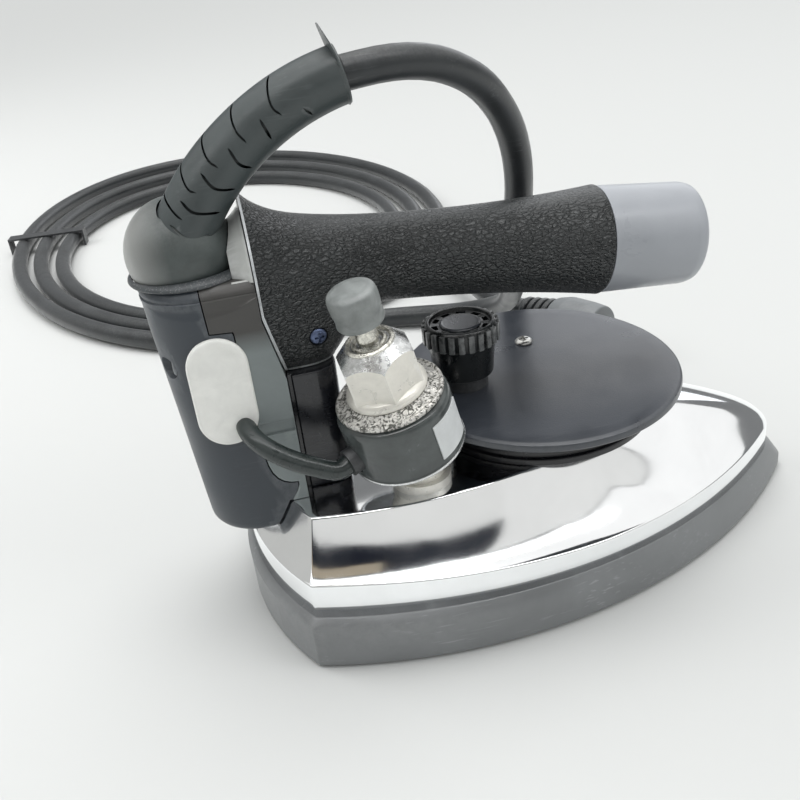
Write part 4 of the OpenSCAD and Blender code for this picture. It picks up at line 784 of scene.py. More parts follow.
per_turn = 48
coil_line = [oval(COIL_START - 360 * k / per_turn, k / per_turn) for k in range(round(COIL_TURNS * per_turn) + 1)]
coil_foot_way = (coil_line[-1] - coil_line[-2]).normalized()
cord_line = flowing([relief_tip, relief_tip + 5 * relief_way] + FALL, 5)
cord_line = flowing(cord_line[::2] + coil_line + [coil_line[-1] + CORD_D * coil_foot_way] + TAIL
                    + [PLUG_AT - 8 * PLUG_WAY, PLUG_AT], 4.2)
cord_line[0] = relief_tip

cord_curve = bpy.data.curves.new("mains_lead", "CURVE")
cord_curve.dimensions = "3D"
cord_curve.bevel_depth = CORD_R * MM
cord_curve.bevel_resolution = 6
cord_curve.use_fill_caps = True
spline = cord_curve.splines.new("POLY")
spline.points.add(len(cord_line) - 1)
for point, place in zip(spline.points, cord_line):
    point.co = (*(place * MM), 1)
cord_curve.materials.append(cord_black)
mains_lead = bpy.data.objects.new("mains_lead", cord_curve)
bpy.context.scene.collection.objects.link(mains_lead)
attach(mains_lead, "iron")
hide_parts("mains_cord", "cord_coil", "cord_tail")


def lying_at_plug(along):
    """The frame of the plug, whose Z runs along it, a distance from the cord's end."""
    turn = PLUG_WAY.to_track_quat("Z", "Y").to_matrix().to_4x4()
    return Matrix.Translation(PLUG_AT + PLUG_WAY * along) @ turn


ribs = [(CORD_R - 0.6, 0), (CORD_R + 1.2, 0.2)]
for k in range(4):
    z, r = 1.4 + 4.7 * k, CORD_R + 1.9 + 0.75 * k
    ribs += [(r - 0.3, z), (r, z + 0.4), (r, z + 2.2), (r - 0.3, z + 2.6), (r - 1.5, z + 2.9), (r - 1.3, z + 4.3)]
ribs = ribs[:-1] + [(9.0, 19.5), (9.0, 20.5), (0, 20.5)]
plug_ribs = finish_piece("plug_ribbed_relief", lathe(ribs, 48, lying_at_plug(0)), cord_black,
                         replaces=("plug_relief",))
plug_profile = rounded([(0, 19.5), (9.6, 19.5), (10.6, 20.4), (12.6, 27.5), (12.75, 40), (12.2, 47.2), (0, 48)], 1.2)
plug_body = finish_piece("plug_body", lathe(plug_profile, 64, lying_at_plug(0)), plug_grey,
                         replaces=("mains_plug",), bevel=0.3)


# ---------------------------------------------------------------- sole and cover

SOLE_L, SOLE_W, SIDE_R, HEEL_R, NOSE_R = 205.0, 121.0, 180.0, 94.0, 8.0
LEDGE, NOSE_LEDGE, COVER_NOSE_R = 2.5, 8.5, 17.0
COVER_TOP = 46.0


def outline(tip, w, big_r, rn, heel, rh, steps=(14, 56, 22)):
    """Three arcs a side, from the nose round by the far side to the heel and back."""
    def side_x():
        return tip - rn - math.sqrt((big_r - rn) ** 2 - (big_r - w / 2) ** 2)
    xs, xn, ys = side_x(), tip - rn, w / 2 - big_r
    low, high = 1.0, 200.0
    for _ in range(40):
        y = (low + high) / 2
        xh = heel + rh - math.sqrt(max(0.0, rh * rh - y * y))
        if y < ys + math.sqrt(max(0.0, big_r ** 2 - (xh - xs) ** 2)):
            low = y
        else:
            high = y
    yc = low
    xc = heel + rh - math.sqrt(rh * rh - yc * yc)
    a0, a1 = math.atan2(-ys, xn - xs), math.atan2(yc - ys, xc - xs)
    ac = math.atan2(yc, xc - heel - rh)
    nn, ns, nh = steps
    half = [(xn + rn * math.cos(a0 * i / nn), rn * math.sin(a0 * i / nn)) for i in range(nn)]
    half += [(xs + big_r * math.cos(mix(a0, a1, i / ns)), ys + big_r * math.sin(mix(a0, a1, i / ns)))
             for i in range(ns)]
    half += [(heel + rh + rh * math.cos(mix(ac, math.pi, i / nh)), rh * math.sin(mix(ac, math.pi, i / nh)))
             for i in range(nh + 1)]
    return half + [(x, -y) for x, y in half[-2:0:-1]]


def seat_z(x):
    return 19.2 - 5.2 * (x / SOLE_L + 0.5)


def sole_line(inset):
    return outline(SOLE_L / 2 - inset, SOLE_W - 2 * inset, SIDE_R - inset, NOSE_R - inset, inset - SOLE_L / 2,
                   HEEL_R - inset)


def cover_line(inset):
    return outline(SOLE_L / 2 - NOSE_LEDGE - inset, SOLE_W - 2 * LEDGE - 2 * inset, SIDE_R - LEDGE - inset,
                   COVER_NOSE_R - inset, LEDGE + inset - SOLE_L / 2, HEEL_R - LEDGE - inset)


def platform_line(inset):
    return outline(44 - inset, 80 - 2 * inset, 150 - inset, 20 - inset, 13 - SOLE_L / 2 + inset, 80 - inset)


def flat(line, z):
    return [Vector((x, y, z)) for x, y in line]


def sole_casting():
    outer, seat = sole_line(0), cover_line(-0.05)
    drop = [min(seat_z(c[0]) - 4.6, 1.15 * math.dist(o, c)) for o, c in zip(outer, seat)]
    rim = [Vector((x, y, seat_z(c[0]) - d)) for (x, y), c, d in zip(outer, seat, drop)]
    ledge = [Vector((0.45 * o[0] + 0.55 * c[0], 0.45 * o[1] + 0.55 * c[1], seat_z(c[0]) - 0.32 * d))
             for o, c, d in zip(outer, seat, drop)]
    seated = [Vector((x, y, seat_z(x))) for x, y in seat]
    inner = [Vector((x, y, seat_z(x) - 0.02)) for x, y in cover_line(6)]
    bm = bmesh.new()
    drawn_out(bm, [flat(sole_line(0.8), 0), flat(outer, 1.0), rim, ledge, seated, inner])
    holes = bmesh.new()
    front = -14 + 28
    places = [(front - 11 * i, y) for i in range(6) for y in (-17, 17)]
    places += [(front + 17 * math.cos(math.radians(a)), 17 * math.sin(math.radians(a))) for a in range(-60, 61, 30)]
    for x, y in places:
        add_mesh(holes, cylinder(1.3, 10, 20, matrix=Matrix.Translation((x, y, -1))))
    return cut_with(bm, holes)


finish_piece("sole_casting", sole_casting(), cast_alloy, replaces=("soleplate",), bevel=0.45, segments=3)


def hollow_at(x):
    if x > 40:
        return 1.4 - (1.4 - 0.72) * (x - 40) / 54
    return 1.4 - 0.2 * clamp((-40 - x) / 40)


def skirt_height(x):
    return 9 + 3 * clamp((10 - x) / 80)


def cover_sheet():
    foot, top = cover_line(0), platform_line(0)
    sections = [[Vector((x, y, seat_z(x) + 0.02)) for x, y in foot]]
    sections.append([Vector((x, y, seat_z(x) + 0.5 * skirt_height(x))) for x, y in foot])
    steps = 26
    for k in range(steps + 1):
        s = k / steps
        ring = []
        for (bx, by), (tx, ty) in zip(foot, top):
            z0 = seat_z(bx) + skirt_height(bx)
            ring.append(Vector((mix(bx, tx, s), mix(by, ty, s), z0 + (COVER_TOP - z0) * s ** hollow_at(bx))))
        sections.append(ring)
    bm = bmesh.new()
    drawn_out(bm, sections, close_first=False)
    return bm


cover = finish_piece("chrome_cover", cover_sheet(), chrome, replaces=("cover_shell",), angle=60)
round_off(cover, 1.1, 4, angle=17)
sheet_metal = cover.modifiers.new("sheet thickness", "SOLIDIFY")
sheet_metal.thickness = 1.2 * MM
sheet_metal.offset = -1

BLOCK_X = 6.0
block_profile = rounded([(0, 46.0), (38.5, 46.0), (38.5, 48.4), (37.2, 48.7), (37.0, 50), (37.0, 58.5), (0, 58.5)], 0.7)
finish_piece("insulating_disc", lathe(block_profile, 128, Matrix.Translation((BLOCK_X, 0, 0))), block_black,
             replaces=("insulating_block",))


def shield_plate():
    bm = bmesh.new()
    edge = [(0.9, 58.5), (0.35, 58.6), (0.0, 59.0), (0.0, 60.2), (0.25, 60.9), (0.9, 61.35), (1.7, 61.5), (6, 61.5)]
    steps = 192
    sections = [[Vector((BLOCK_X + (47.5 - inset) * math.cos(TAU * k / steps), (50.5 - inset) * math.sin(TAU * k / steps), z))
                 for k in range(steps)] for inset, z in edge]
    drawn_out(bm, sections)
    return bm


finish_piece("heat_shield_plate", shield_plate(), shield_paint, replaces=("heat_shield",))


# ---------------------------------------------------------------- screws

def screw_head(head_r, head_h, recess="cross"):
    """A domed head with a recess. Its seat is at the origin and it faces up."""
    bm = lathe(rounded([(0, 0), (head_r, 0), (head_r, head_h * 0.45), (head_r * 0.72, head_h * 0.92), (0, head_h)],
                       head_h * 0.3), 40)
    slot = head_r * 0.26
    cutter = block((head_r * 1.15, slot, head_h), (0, 0, head_h * 0.95))
    if recess == "cross":
        bm = cut_with(bm, cutter)
        cutter = block((slot, head_r * 1.15, head_h), (0, 0, head_h * 0.95))
    return cut_with(bm, cutter)


def screws(name, frames, head_r, head_h, shank_r, shank_l, material, node, recess="cross"):
    bm = bmesh.new()
    for matrix in frames:
        add_mesh(bm, screw_head(head_r, head_h, recess), matrix)
        add_mesh(bm, cylinder(shank_r, shank_l, 20, matrix=matrix @ Matrix.Translation((0, 0, -shank_l))))
    return finish_piece(name, bm, material, replaces=(node,), angle=30)


DECK_Z = 61.5
screws("shield_cross_screws", [Matrix.Translation((8.5, 20, DECK_Z)), Matrix.Translation((-31, -14, DECK_Z))],
       3.2, 1.8, 2, 24.4, plated, "shield_screws")


# ---------------------------------------------------------------- thermostat knob

KNOB_X, KNOB_Z, KNOB_R, KNOB_H, RIM_H = -20.0, 66.3, 13.0, 18.5, 7.0


def knob():
    skirt_top = KNOB_H - RIM_H
    profile = rounded([(3.1, 0), (KNOB_R - 3, 0), (KNOB_R - 1.8, skirt_top), (KNOB_R - 1.1, skirt_top + 0.3),
                       (KNOB_R - 1.1, KNOB_H - 0.9), (KNOB_R - 1.8, KNOB_H), (KNOB_R - 2.7, KNOB_H),
                       (KNOB_R - 3.0, KNOB_H - 1.3), (0, KNOB_H - 1.3)], 0.35, 3)
    bm = lathe(profile, 144)
    for k in range(24):
        tooth = block((1.7, 2.0, RIM_H - 1), (KNOB_R - 1.0, 0, skirt_top + 0.3 + (RIM_H - 1) / 2),
                      Matrix.Rotation(TAU * k / 24, 4, "Z"))
        bmesh.ops.bevel(tooth, geom=tooth.edges[:], offset=0.35, segments=2, profile=0.5, affect="EDGES", material=-1)
        add_mesh(bm, tooth)
    return bm


at_knob = Matrix.Translation((KNOB_X, 0, KNOB_Z))
knob_bm = knob()
windows = bmesh.new()
for k in range(10):
    turn = Matrix.Rotation(TAU * k / 10, 4, "Z")
    add_mesh(windows, block((1.9, 3.1, 2.4), (KNOB_R - 4.4, 0, KNOB_H - 1.3), turn))
knob_bm = cut_with(knob_bm, windows)
bmesh.ops.transform(knob_bm, matrix=at_knob, verts=knob_bm.verts)
finish_piece("knob_body", knob_bm, knob_black, body="knob", replaces=("thermostat_knob",), angle=30)
dial_profile = rounded([(0, KNOB_H - 1.4), (6.9, KNOB_H - 1.4), (6.9, KNOB_H - 0.9), (6.3, KNOB_H - 0.5),
                        (5.6, KNOB_H - 0.75), (0, KNOB_H - 1.0)], 0.2, 3)
finish_piece("dial_plate", lathe(dial_profile, 96, at_knob), shield_paint, body="knob",
             replaces=("dial_disc",))


# ---------------------------------------------------------------- rear column

COLUMN_FOOT, BACK_X, SPLIT_REAR, SPLIT_FRONT, FRONT_X = 37.5, -111.0, -88.3, -80.0, -64.0
LEAN = math.tan(math.radians(4.5))


SHOULDER_Z, BAND_Z = 114.7, 110.2
SKY_Z = COLUMN_TOP + 60
REAR_SEAM = [(-140, SKY_Z), (-100, SKY_Z), (-100, 118), (-99.5, 105), (-99.1, 104.9), (-92.9, 104.4), (-92.7, 103.6),
             (-91.3, 72.7), (-91.1, 63.3), (-90.6, 59.6), (-89.8, 56.9), (-88.4, 54.6), (-86.7, 53.2), (-84.8, 52.4),
             (-82.6, 52.1), (-82.6, 50.8), (-83.4, 48.9), (-85, 46.6), (-86.1, 44.2), (-87.5, 41.7), (-89, 39.9),
             (-91, 38.4), (-95, 37.2), (-140, 37.2)]
GRIP_BACK_X, STEP_Z = -84.0, 87.0
FRONT_SEAM = [(-140, SKY_Z), (GRIP_BACK_X, SKY_Z), (GRIP_BACK_X, 106), (SPLIT_FRONT, STEP_Z), (SPLIT_FRONT, 0), (-140, 0)]


def behind(line, shift=0.0, reach=60):
    """A solid across the whole iron behind a seam, given as points (x, z) of the side view."""
    bm = bmesh.new()
    drawn_out(bm, [[Vector((x + shift, y, z + shift)) for x, z in line] for y in (-reach, reach)])
    return bm


def half_width(z):
    if z > SHOULDER_Z:
        return mix(19.9, 17.8, smooth((z - SHOULDER_Z) / (COLUMN_TOP - SHOULDER_Z)))
    if z > BAND_Z:
        return mix(20.6, 20.1, (z - BAND_Z) / (SHOULDER_Z - BAND_Z))
    return mix(25.0, 20.7, (z - COLUMN_FOOT) / (BAND_Z - COLUMN_FOOT))


def band_rise(x, z):
    """The head's lower line rises to both sides of the boot, and dies out at the shoulder."""
    rise = 23 - math.sqrt(max(0.0, 23 ** 2 - clamp(x + 100, -17, 17) ** 2))
    return 0.55 * rise * clamp(1 - abs(z - BAND_Z) / (SHOULDER_Z - BAND_Z - 1))


def column_section(z, front_x, inset=0.0, corner=17.0, arc=18):
    """The column's section at a height: a flat front and a back with two wide corners."""
    w = half_width(z) - inset
    back = BACK_X - (z - COLUMN_FOOT) * LEAN + inset
    r = min(corner - inset, w - 0.5)
    half = [(mix(front_x, back + r, k / 8), w) for k in range(8)]
    half += [(back + r - r * math.sin(math.pi / 2 * k / arc), w - r + r * math.cos(math.pi / 2 * k / arc))
             for k in range(arc + 1)]
    outline_xy = half + [(x, -y) for x, y in reversed(half)] + [(front_x, mix(-w, w, k / 8)) for k in range(1, 8)]
    return [Vector((x, y, z + band_rise(x, z))) for x, y in outline_xy]


def column_body():
    levels = [(COLUMN_FOOT, 1.6), (COLUMN_FOOT + 0.5, 0.8), (COLUMN_FOOT + 1.6, 0.15), (COLUMN_FOOT + 3, 0)]
    levels += [(mix(COLUMN_FOOT + 3, BAND_Z - 0.7, k / 14), 0) for k in range(1, 15)]
    levels += [(BAND_Z, 0), (BAND_Z + 0.4, 0), (BAND_Z + 1.6, 0), (BAND_Z + 3, 0), (SHOULDER_Z - 0.1, 0),
               (SHOULDER_Z + 0.1, 0.45), (SHOULDER_Z + 0.6, 0.25), (SHOULDER_Z + 1.4, 0), (COLUMN_TOP - 1, 0),
               (COLUMN_TOP - 0.3, 0.3), (COLUMN_TOP, 0.9)]
    bm = bmesh.new()
    drawn_out(bm, [column_section(z, SPLIT_FRONT, inset) for z, inset in levels])
    return bm


def cover_bulk(grow):
    """The chrome cover and what lies under it, as one solid a little larger than it is."""
    foot, top = cover_line(-grow), platform_line(-grow)
    sections = [flat(foot, 0)]
    for k in range(13):
        s = k / 12
        sections.append([Vector((mix(bx, tx, s), mix(by, ty, s),
                                 mix(seat_z(bx) + skirt_height(bx), COVER_TOP, s ** hollow_at(bx)) + grow))
                         for (bx, by), (tx, ty) in zip(foot, top)])
    bm = bmesh.new()
    drawn_out(bm, sections)
    return bm


def rear_seats():
    return [(BACK_X - (z - COLUMN_FOOT) * LEAN + (2.4 if y == 0 else 5), y, z) for y, z in ((0, 52), (13, 94), (-13, 94))]


def column_rear_shell():
    bm = cut_with(column_body(), behind(REAR_SEAM), "INTERSECT")
    bm = cut_with(bm, cover_bulk(0.4))
    holes = bmesh.new()
    for seat in rear_seats():
        add_mesh(holes, cylinder(3.5, 20, 32, matrix=Matrix.Translation(seat) @ Matrix.Rotation(-math.pi / 2, 4, "Y")))
    return cut_with(bm, holes)


finish_piece("column_rear_cover", column_rear_shell(), column_grey, replaces=("column_rear",),
             angle=32, bevel=0.25)

BOOT_R, BOOT_AT = 16.2, Vector((BOOT_X - 1.6, 0, COLUMN_TOP + 6.4))
HANDLE_Z, FLANGE_L, FLANGE_R = 115.0, 5.7, 18.8


def ball(radius):
    bm = bmesh.new()
    bmesh.ops.create_uvsphere(bm, u_segments=96, v_segments=48, radius=radius)
    bmesh.ops.translate(bm, vec=BOOT_AT, verts=bm.verts)
    return bm


def column_frame():
    """The frame between the two covers, with the flange that stands up behind the grip."""
    bm = cut_with(column_body(), behind(REAR_SEAM, 0.35))
    bm = cut_with(bm, behind(FRONT_SEAM), "INTERSECT")
    flange = lathe([(0, 0), (FLANGE_R - 4.5, 0), (FLANGE_R - 0.9, FLANGE_L - 1.1), (FLANGE_R - 0.25, FLANGE_L - 0.6),
                    (FLANGE_R, FLANGE_L), (0, FLANGE_L)], 96,
                   Matrix.Translation((GRIP_BACK_X - FLANGE_L, 0, HANDLE_Z)) @ Matrix.Rotation(math.pi / 2, 4, "Y"))
    flange = cut_with(flange, block((60, 60, 60), (-90, 0, COLUMN_TOP - 2.4 - 30)))
    bm = cut_with(bm, flange, "UNION")
    bm = cut_with(bm, ball(BOOT_R + 0.35))
    low = block((80, 80, 20), (-90, 0, COVER_TOP + 0.2 - 10))
    add_mesh(low, block((10.3, 4.5, 4.2), (-85.4, -24.5, 72.1)))
    add_mesh(low, block((10.3, 4.5, 4.2), (-85.4, 24.5, 72.1)))
    bm = cut_with(bm, low)
    for face in bm.faces:
        middle = face.calc_center_median()
        face.material_index = 1 if middle.z > COLUMN_TOP - 0.2 and middle.x > GRIP_BACK_X - FLANGE_L - 0.2 else 0
    return bm


finish_piece("column_frame_band", column_frame(), frame_grey, replaces=("column_middle",), bevel=0.25,
             materials=(flange_grey,))


def front_section(z, inset=0.0):
    w, r = 20.0 - inset, 7.0 - inset
    start, end = SPLIT_FRONT + 1.7, FRONT_X - inset
    points = [Vector((start, -w, z))]
    points += [Vector((end - r + r * math.sin(math.pi / 2 * k / 10), -w + r - r * math.cos(math.pi / 2 * k / 10), z))
               for k in range(11)]
    points += [Vector((end - r + r * math.cos(math.pi / 2 * k / 10), w - r + r * math.sin(math.pi / 2 * k / 10), z))
               for k in range(11)]
    points.append(Vector((start, w, z)))
    return points


TONGUE_W, TONGUE_FRONT, TONGUE_TOP = 26.0, -73.7, 122.0


def column_front_shell():
    """The front housing: a block, a set-back rib at the seam and the tongue in the grip."""
    bm = bmesh.new()
    levels = [(46.1, 0.6), (46.6, 0.1), (47.2, 0)] + [(mix(47.2, 86.4, k / 8), 0) for k in range(1, 9)] + [(86.7, 0.3)]
    drawn_out(bm, [front_section(z, inset) for z, inset in levels])
    bm = cut_with(bm, block((2.6, 37, 40.6), (SPLIT_FRONT + 1.6, 0, 66.4)), "UNION")
    tongue = block((TONGUE_FRONT - GRIP_BACK_X, TONGUE_W, TONGUE_TOP - 86), ((TONGUE_FRONT + GRIP_BACK_X) / 2, 0, (TONGUE_TOP + 86) / 2))
    tongue = cut_with(tongue, behind(FRONT_SEAM, 0.3))
    return cut_with(bm, tongue, "UNION")


finish_piece("column_front_housing", column_front_shell(), gloss_black, replaces=("column_front",),
             bevel=0.3)

SIDE_LEAN = math.atan((25 - 20.7) / (BAND_Z - COLUMN_FOOT))
PAD_Z, PAD_X = 87.0, -99.0
pad_y = -half_width(PAD_Z)
at_pad = Matrix.Translation((PAD_X, pad_y, PAD_Z)) @ Matrix.Rotation(math.pi / 2 - SIDE_LEAN, 4, "X")


def pad_section(grow, z, steps=24):
    w, run = 9 + grow, 8.0
    points = [Vector((w * math.cos(math.pi * k / steps), run + w * math.sin(math.pi * k / steps), z)) for k in range(steps + 1)]
    points += [Vector((w * math.cos(math.pi + math.pi * k / steps), -run + w * math.sin(math.pi + math.pi * k / steps), z))
               for k in range(steps + 1)]
    return points


def pad():
    bm = bmesh.new()
    drawn_out(bm, [pad_section(g, z) for g, z in
                   ((0, -0.6), (0, 0.55), (-0.2, 0.95), (-0.6, 1.18), (-1.2, 1.25), (-2.2, 1.1), (-3.0, 0.75), (-3.7, 0.55),
                    (-5, 0.5), (-7, 0.6))])
    bmesh.ops.transform(bm, matrix=at_pad, verts=bm.verts)
    return bm


finish_piece("column_oval_pad", pad(), pad_white, replaces=("oval_pad",))
screws("rear_cross_screws", [Matrix.Translation(seat) @ Matrix.Rotation(-math.pi / 2, 4, "Y") for seat in rear_seats()],
       3.1, 1.6, 1.5, 12, screw_dark, "rear_screws")

# Collar, boot, strain relief and the cord inside it
def collar():
    """A low sloping ring round the boot, which ends at the frame's flange."""
    bm = lathe([(15.2, 0), (18.3, 0), (18.5, 0.3), (18.35, 0.9), (17.9, 1.3), (16.2, 2.1), (15.75, 2.15), (15.45, 1.85), (15.2, 1.2)]
               + [(15.2, 0)], 128, Matrix.Translation((BOOT_X, 0, COLUMN_TOP)))
    bm = cut_with(bm, ball(BOOT_R + 0.35))
    return cut_with(bm, block((20, 60, 10), (GRIP_BACK_X - FLANGE_L - 0.1 + 10, 0, COLUMN_TOP)))


finish_piece("collar_ring", collar(), collar_speckled, replaces=("cord_collar",))


def boot_ball():
    """The cord boot: a ball cut off flat on the column, with a seat for the sleeve."""
    bm = cut_with(ball(BOOT_R), block((60, 60, 40), (BOOT_AT.x, 0, COLUMN_TOP + 0.05 - 20)))
    seat_way = (relief_point(RELIEF_ROOT_A + 0.02) - relief_point(RELIEF_ROOT_A)).normalized()
    seat_at = Matrix.Translation(relief_point(RELIEF_ROOT_A)) @ seat_way.to_track_quat("Z", "Y").to_matrix().to_4x4()
    return cut_with(bm, cylinder(9.25, 30, 64, matrix=seat_at @ Matrix.Translation((0, 0, 5.6))))


finish_piece("cord_boot_ball", boot_ball(), boot_grey, replaces=("cord_boot",), bevel=0.3)

# Each groove of the sleeve is a line of (angle along the bend, angle round the sleeve), in degrees.
NEAR_SLOTS = [[(29.9, -158), (27.5, -112), (27.6, -81), (30.2, -52)], [(30.6, -128), (29.4, -87), (31.4, -55)],
              [(35.4, -128), (34.6, -96), (37.0, -52)], [(42.0, -120), (41.0, -85), (43.6, -48)],
              [(49.8, -108), (48.8, -75), (50.2, -48)], [(59.4, -105), (58.6, -64)], [(68.1, -75), (69.2, -50)]]
OUTER_SLOTS = [[(35.2, -186), (32.9, -130), (32.4, -112)], [(42.3, -190), (38.2, -129), (38.2, -110)],
               [(49.3, -189), (45.3, -128), (45.0, -101)], [(57.2, -180), (54.0, -123), (53.7, -92)],
               [(65.7, -176), (62.9, -114), (63.4, -87)]]


def relief_frame(a):
    """Upright at a point of the sleeve: Z along it, X to the inside of the bend, -Y to the near side."""
    way = (relief_point(a + 0.01) - relief_point(a - 0.01)).normalized()
    inside = (relief_mid - relief_point(a))
    inside = (inside - way * inside.dot(way)).normalized()
    return Matrix((inside, way.cross(inside), way)).transposed().to_4x4(), relief_point(a)


def relief_radius(a):
    return mix(9.1, 8.3, clamp((a - RELIEF_ROOT_A) / (RELIEF_TURN - RELIEF_ROOT_A)))


def slot_cutter(line, depth, wide):
    """A groove that runs part of the way round the sleeve along its line."""
    bm = bmesh.new()
    sections = []
    points = flowing([(a, phi, 0) for a, phi in line], 3)
    for k, point in enumerate(points):
        turn, place = relief_frame(math.radians(point.x))
        phi, r = math.radians(point.y), relief_radius(math.radians(point.x))
        half = wide / 2 * (0.35 + 0.65 * smooth(min(k, len(points) - 1 - k) / 3))
        way = Vector((math.cos(phi), math.sin(phi), 0))
        corners = [way * (r - depth) - Z * half, way * (r + 2) - Z * half, way * (r + 2) + Z * half, way * (r - depth) + Z * half]
        sections.append([place + turn @ corner for corner in corners])
    drawn_out(bm, sections)
    return bm


def relief_sleeve():
    """A tapered tube along the arc, set in the boot, with two rows of staggered slots."""
    bm = bmesh.new()
    steps = 96
    start, end = RELIEF_ROOT_A - math.radians(5), RELIEF_TURN
    turns = [mix(start, end, k / steps) for k in range(steps + 1)]
    path = [relief_point(a) for a in turns]
    radii = [relief_radius(a) for a in turns]
    outside = swept(bm, path, radii, (0, 1, 0), 96, ends=False)
    inside = swept(bm, path, [CORD_R + 0.9] * len(path), (0, 1, 0), 96, ends=False)
    for outer, inner in zip(outside, inside):
        bmesh.ops.bridge_loops(bm, edges=ring_edges(bm, outer) + ring_edges(bm, inner))
    slots = bmesh.new()
    for line in NEAR_SLOTS:
        add_mesh(slots, slot_cutter(line, 1.1, 0.85))
    for line in OUTER_SLOTS:
        add_mesh(slots, slot_cutter(line, 0.8, 0.65))
    return cut_with(bm, slots)


finish_piece("strain_relief_sleeve", relief_sleeve(), relief_grey, replaces=("strain_relief",), angle=30,
             bevel=0.14)
bore_path = [Vector((BOOT_X, 0, z)) for z in (76, 86, 96, 104, 111)] + [Vector((BOOT_X - 0.3, -RELIEF_LEAN / 2, 118))]
bore_path += [relief_point(mix(RELIEF_ROOT_A, RELIEF_TURN, k / 10)) for k in range(11)]
bm = bmesh.new()
bore_line = flowing(bore_path, 4)
swept(bm, bore_line, [CORD_R] * len(bore_line), (0, 1, 0), 24)
finish_piece("lead_in_column", bm, slot_dark, replaces=("inner_cord",))


def lip():
    """The thin flared edge round the sleeve's end, drawn up to a fin on the outside of the bend."""
    bm = bmesh.new()
    turn, place = relief_frame(RELIEF_TURN)
    steps = 64
    sections = []
    for k in range(steps):
        a = TAU * k / steps
        fin = clamp(-math.cos(a)) ** 5
        rise = 0.35 + 6.2 * fin
        way = Vector((math.cos(a), math.sin(a), 0))
        back = Z * (-1.9 * fin)
        sections.append([way * 7.6 + Z * -1.4, way * (8.25 + 0.3 * rise) + Z * -1.15 + 0.5 * back, way * (8.3 + rise) + Z * -0.7 + back,
                         way * (8.3 + rise) + Z * -0.45 + back, way * (8.2 + 0.3 * rise) + Z * -0.2 + 0.4 * back, way * 7.6 + Z * -0.1])
    sections.append(sections[0])
    drawn_out(bm, sections, False, False)
    bmesh.ops.transform(bm, matrix=Matrix.Translation(place) @ turn, verts=bm.verts)
    return bm


finish_piece("relief_flared_lip", lip(), relief_grey, replaces=("relief_lip",))


# ---------------------------------------------------------------- handle

GRIP_L, WAIST_R, FRONT_R, CAP_L, CAP_R = 107.5, 13.4, 17.7, 33.5, 16.7
at_handle = Matrix.Translation((SPLIT_FRONT, 0, HANDLE_Z)) @ Matrix.Rotation(math.radians(96), 4, "Y")
at_flare = (Matrix.Translation((-68.4, -17.8, 97.2)) @ Matrix.Rotation(math.radians(8.6), 4, "Z")
            @ Matrix.Rotation(math.radians(95.6), 4, "X"))


def swell(s):
    return (FRONT_R - WAIST_R) * max(0.0, (s - 38) / (GRIP_L - 38)) ** 2.2


def foot_share(s, w):
    return 1 / (1 + math.exp((s - 23) / w))


def grip_ring(s, steps=96):
    side = WAIST_R + 6.4 * foot_share(s, 4.5) + swell(s)
    up = WAIST_R + 5 * math.exp(-s / 9) + swell(s)
    down = WAIST_R + 17 * foot_share(s, 3) + swell(s)
    ring = []
    for k in range(steps):
        a = TAU * k / steps
        c, q = math.cos(a), math.sin(a)
        n = 2 / (2 + 2.5 * foot_share(s, 4)) if c > 0 else 1
        v = down if c > 0 else up
        ring.append(Vector((v * math.copysign(abs(c) ** n, c), side * math.copysign(abs(q) ** n, q), s)))
    return ring


def grip_bulk(grow=0.0):
    bm = bmesh.new()
    places = [-7.5 + k * 1.25 for k in range(int((GRIP_L + 7.5) / 1.25))] + [GRIP_L - 0.5]
    sections = [[Vector((p.x * (1 + grow), p.y * (1 + grow), p.z)) for p in grip_ring(s)] for s in places]
    sections.append([Vector((p.x * 0.972, p.y * 0.972, p.z)) for p in grip_ring(GRIP_L)])
    drawn_out(bm, sections)
    bmesh.ops.transform(bm, matrix=at_handle, verts=bm.verts)
    return bm


def grip():
    """The leather sleeve, cut to the column's seam behind and flat across the foot."""
    cutter = behind(FRONT_SEAM, 0.35)
    add_mesh(cutter, block((120, 80, 60), (-60, 0, STEP_Z - 30)))
    bm = cut_with(grip_bulk(), cutter)
    slot = block((TONGUE_FRONT + 90 + 0.1, TONGUE_W + 0.2, TONGUE_TOP - 60), ((TONGUE_FRONT - 90 + 0.1) / 2, 0, (TONGUE_TOP + 60) / 2 + 0.1))
    bore = cylinder(7.6, 40, 40, matrix=Matrix.Translation((-69.7, 8, 97)) @ Matrix.Rotation(-math.pi / 2, 4, "X"))
    dent = cylinder(3.0, 12, 32, matrix=at_flare @ Matrix.Translation((0, 0, -0.3)))
    for tool in (slot, bore, dent):
        bm = cut_with(bm, tool)
    return bm


def grip_edge_bead():
    """The smooth rim along the sleeve's rear edge and round the bottom of its foot. Its light grey is a painted
    highlight along the rim.
    """
    keep = cut_with(behind(FRONT_SEAM, 1.0), behind(FRONT_SEAM, 0.3))
    rear = cut_with(cut_with(grip_bulk(0.012), keep, "INTERSECT"), block((120, 80, 60), (-60, 0, STEP_Z - 0.1 - 30)))
    foot = cut_with(grip_bulk(0.012), block((60, 80, 0.7), (-52, 0, STEP_Z + 0.25)), "INTERSECT")
    foot = cut_with(foot, behind(FRONT_SEAM, 0.3))
    foot = cut_with(foot, cylinder(7.6, 40, 40, matrix=Matrix.Translation((-69.7, 8, 97)) @ Matrix.Rotation(-math.pi / 2, 4, "X")))
    bm = cut_with(rear, foot, "UNION")
    return cut_with(bm, grip_bulk(-0.02))


finish_piece("grip_leather_sleeve", grip(), grip_rubber, replaces=("grip_sleeve",), angle=40, bevel=0.3)
# the bead's light grey is a painted highlight along the sleeve's rim
finish_piece("grip_edge_bead", grip_edge_bead(), bead_painted_highlight, angle=40)

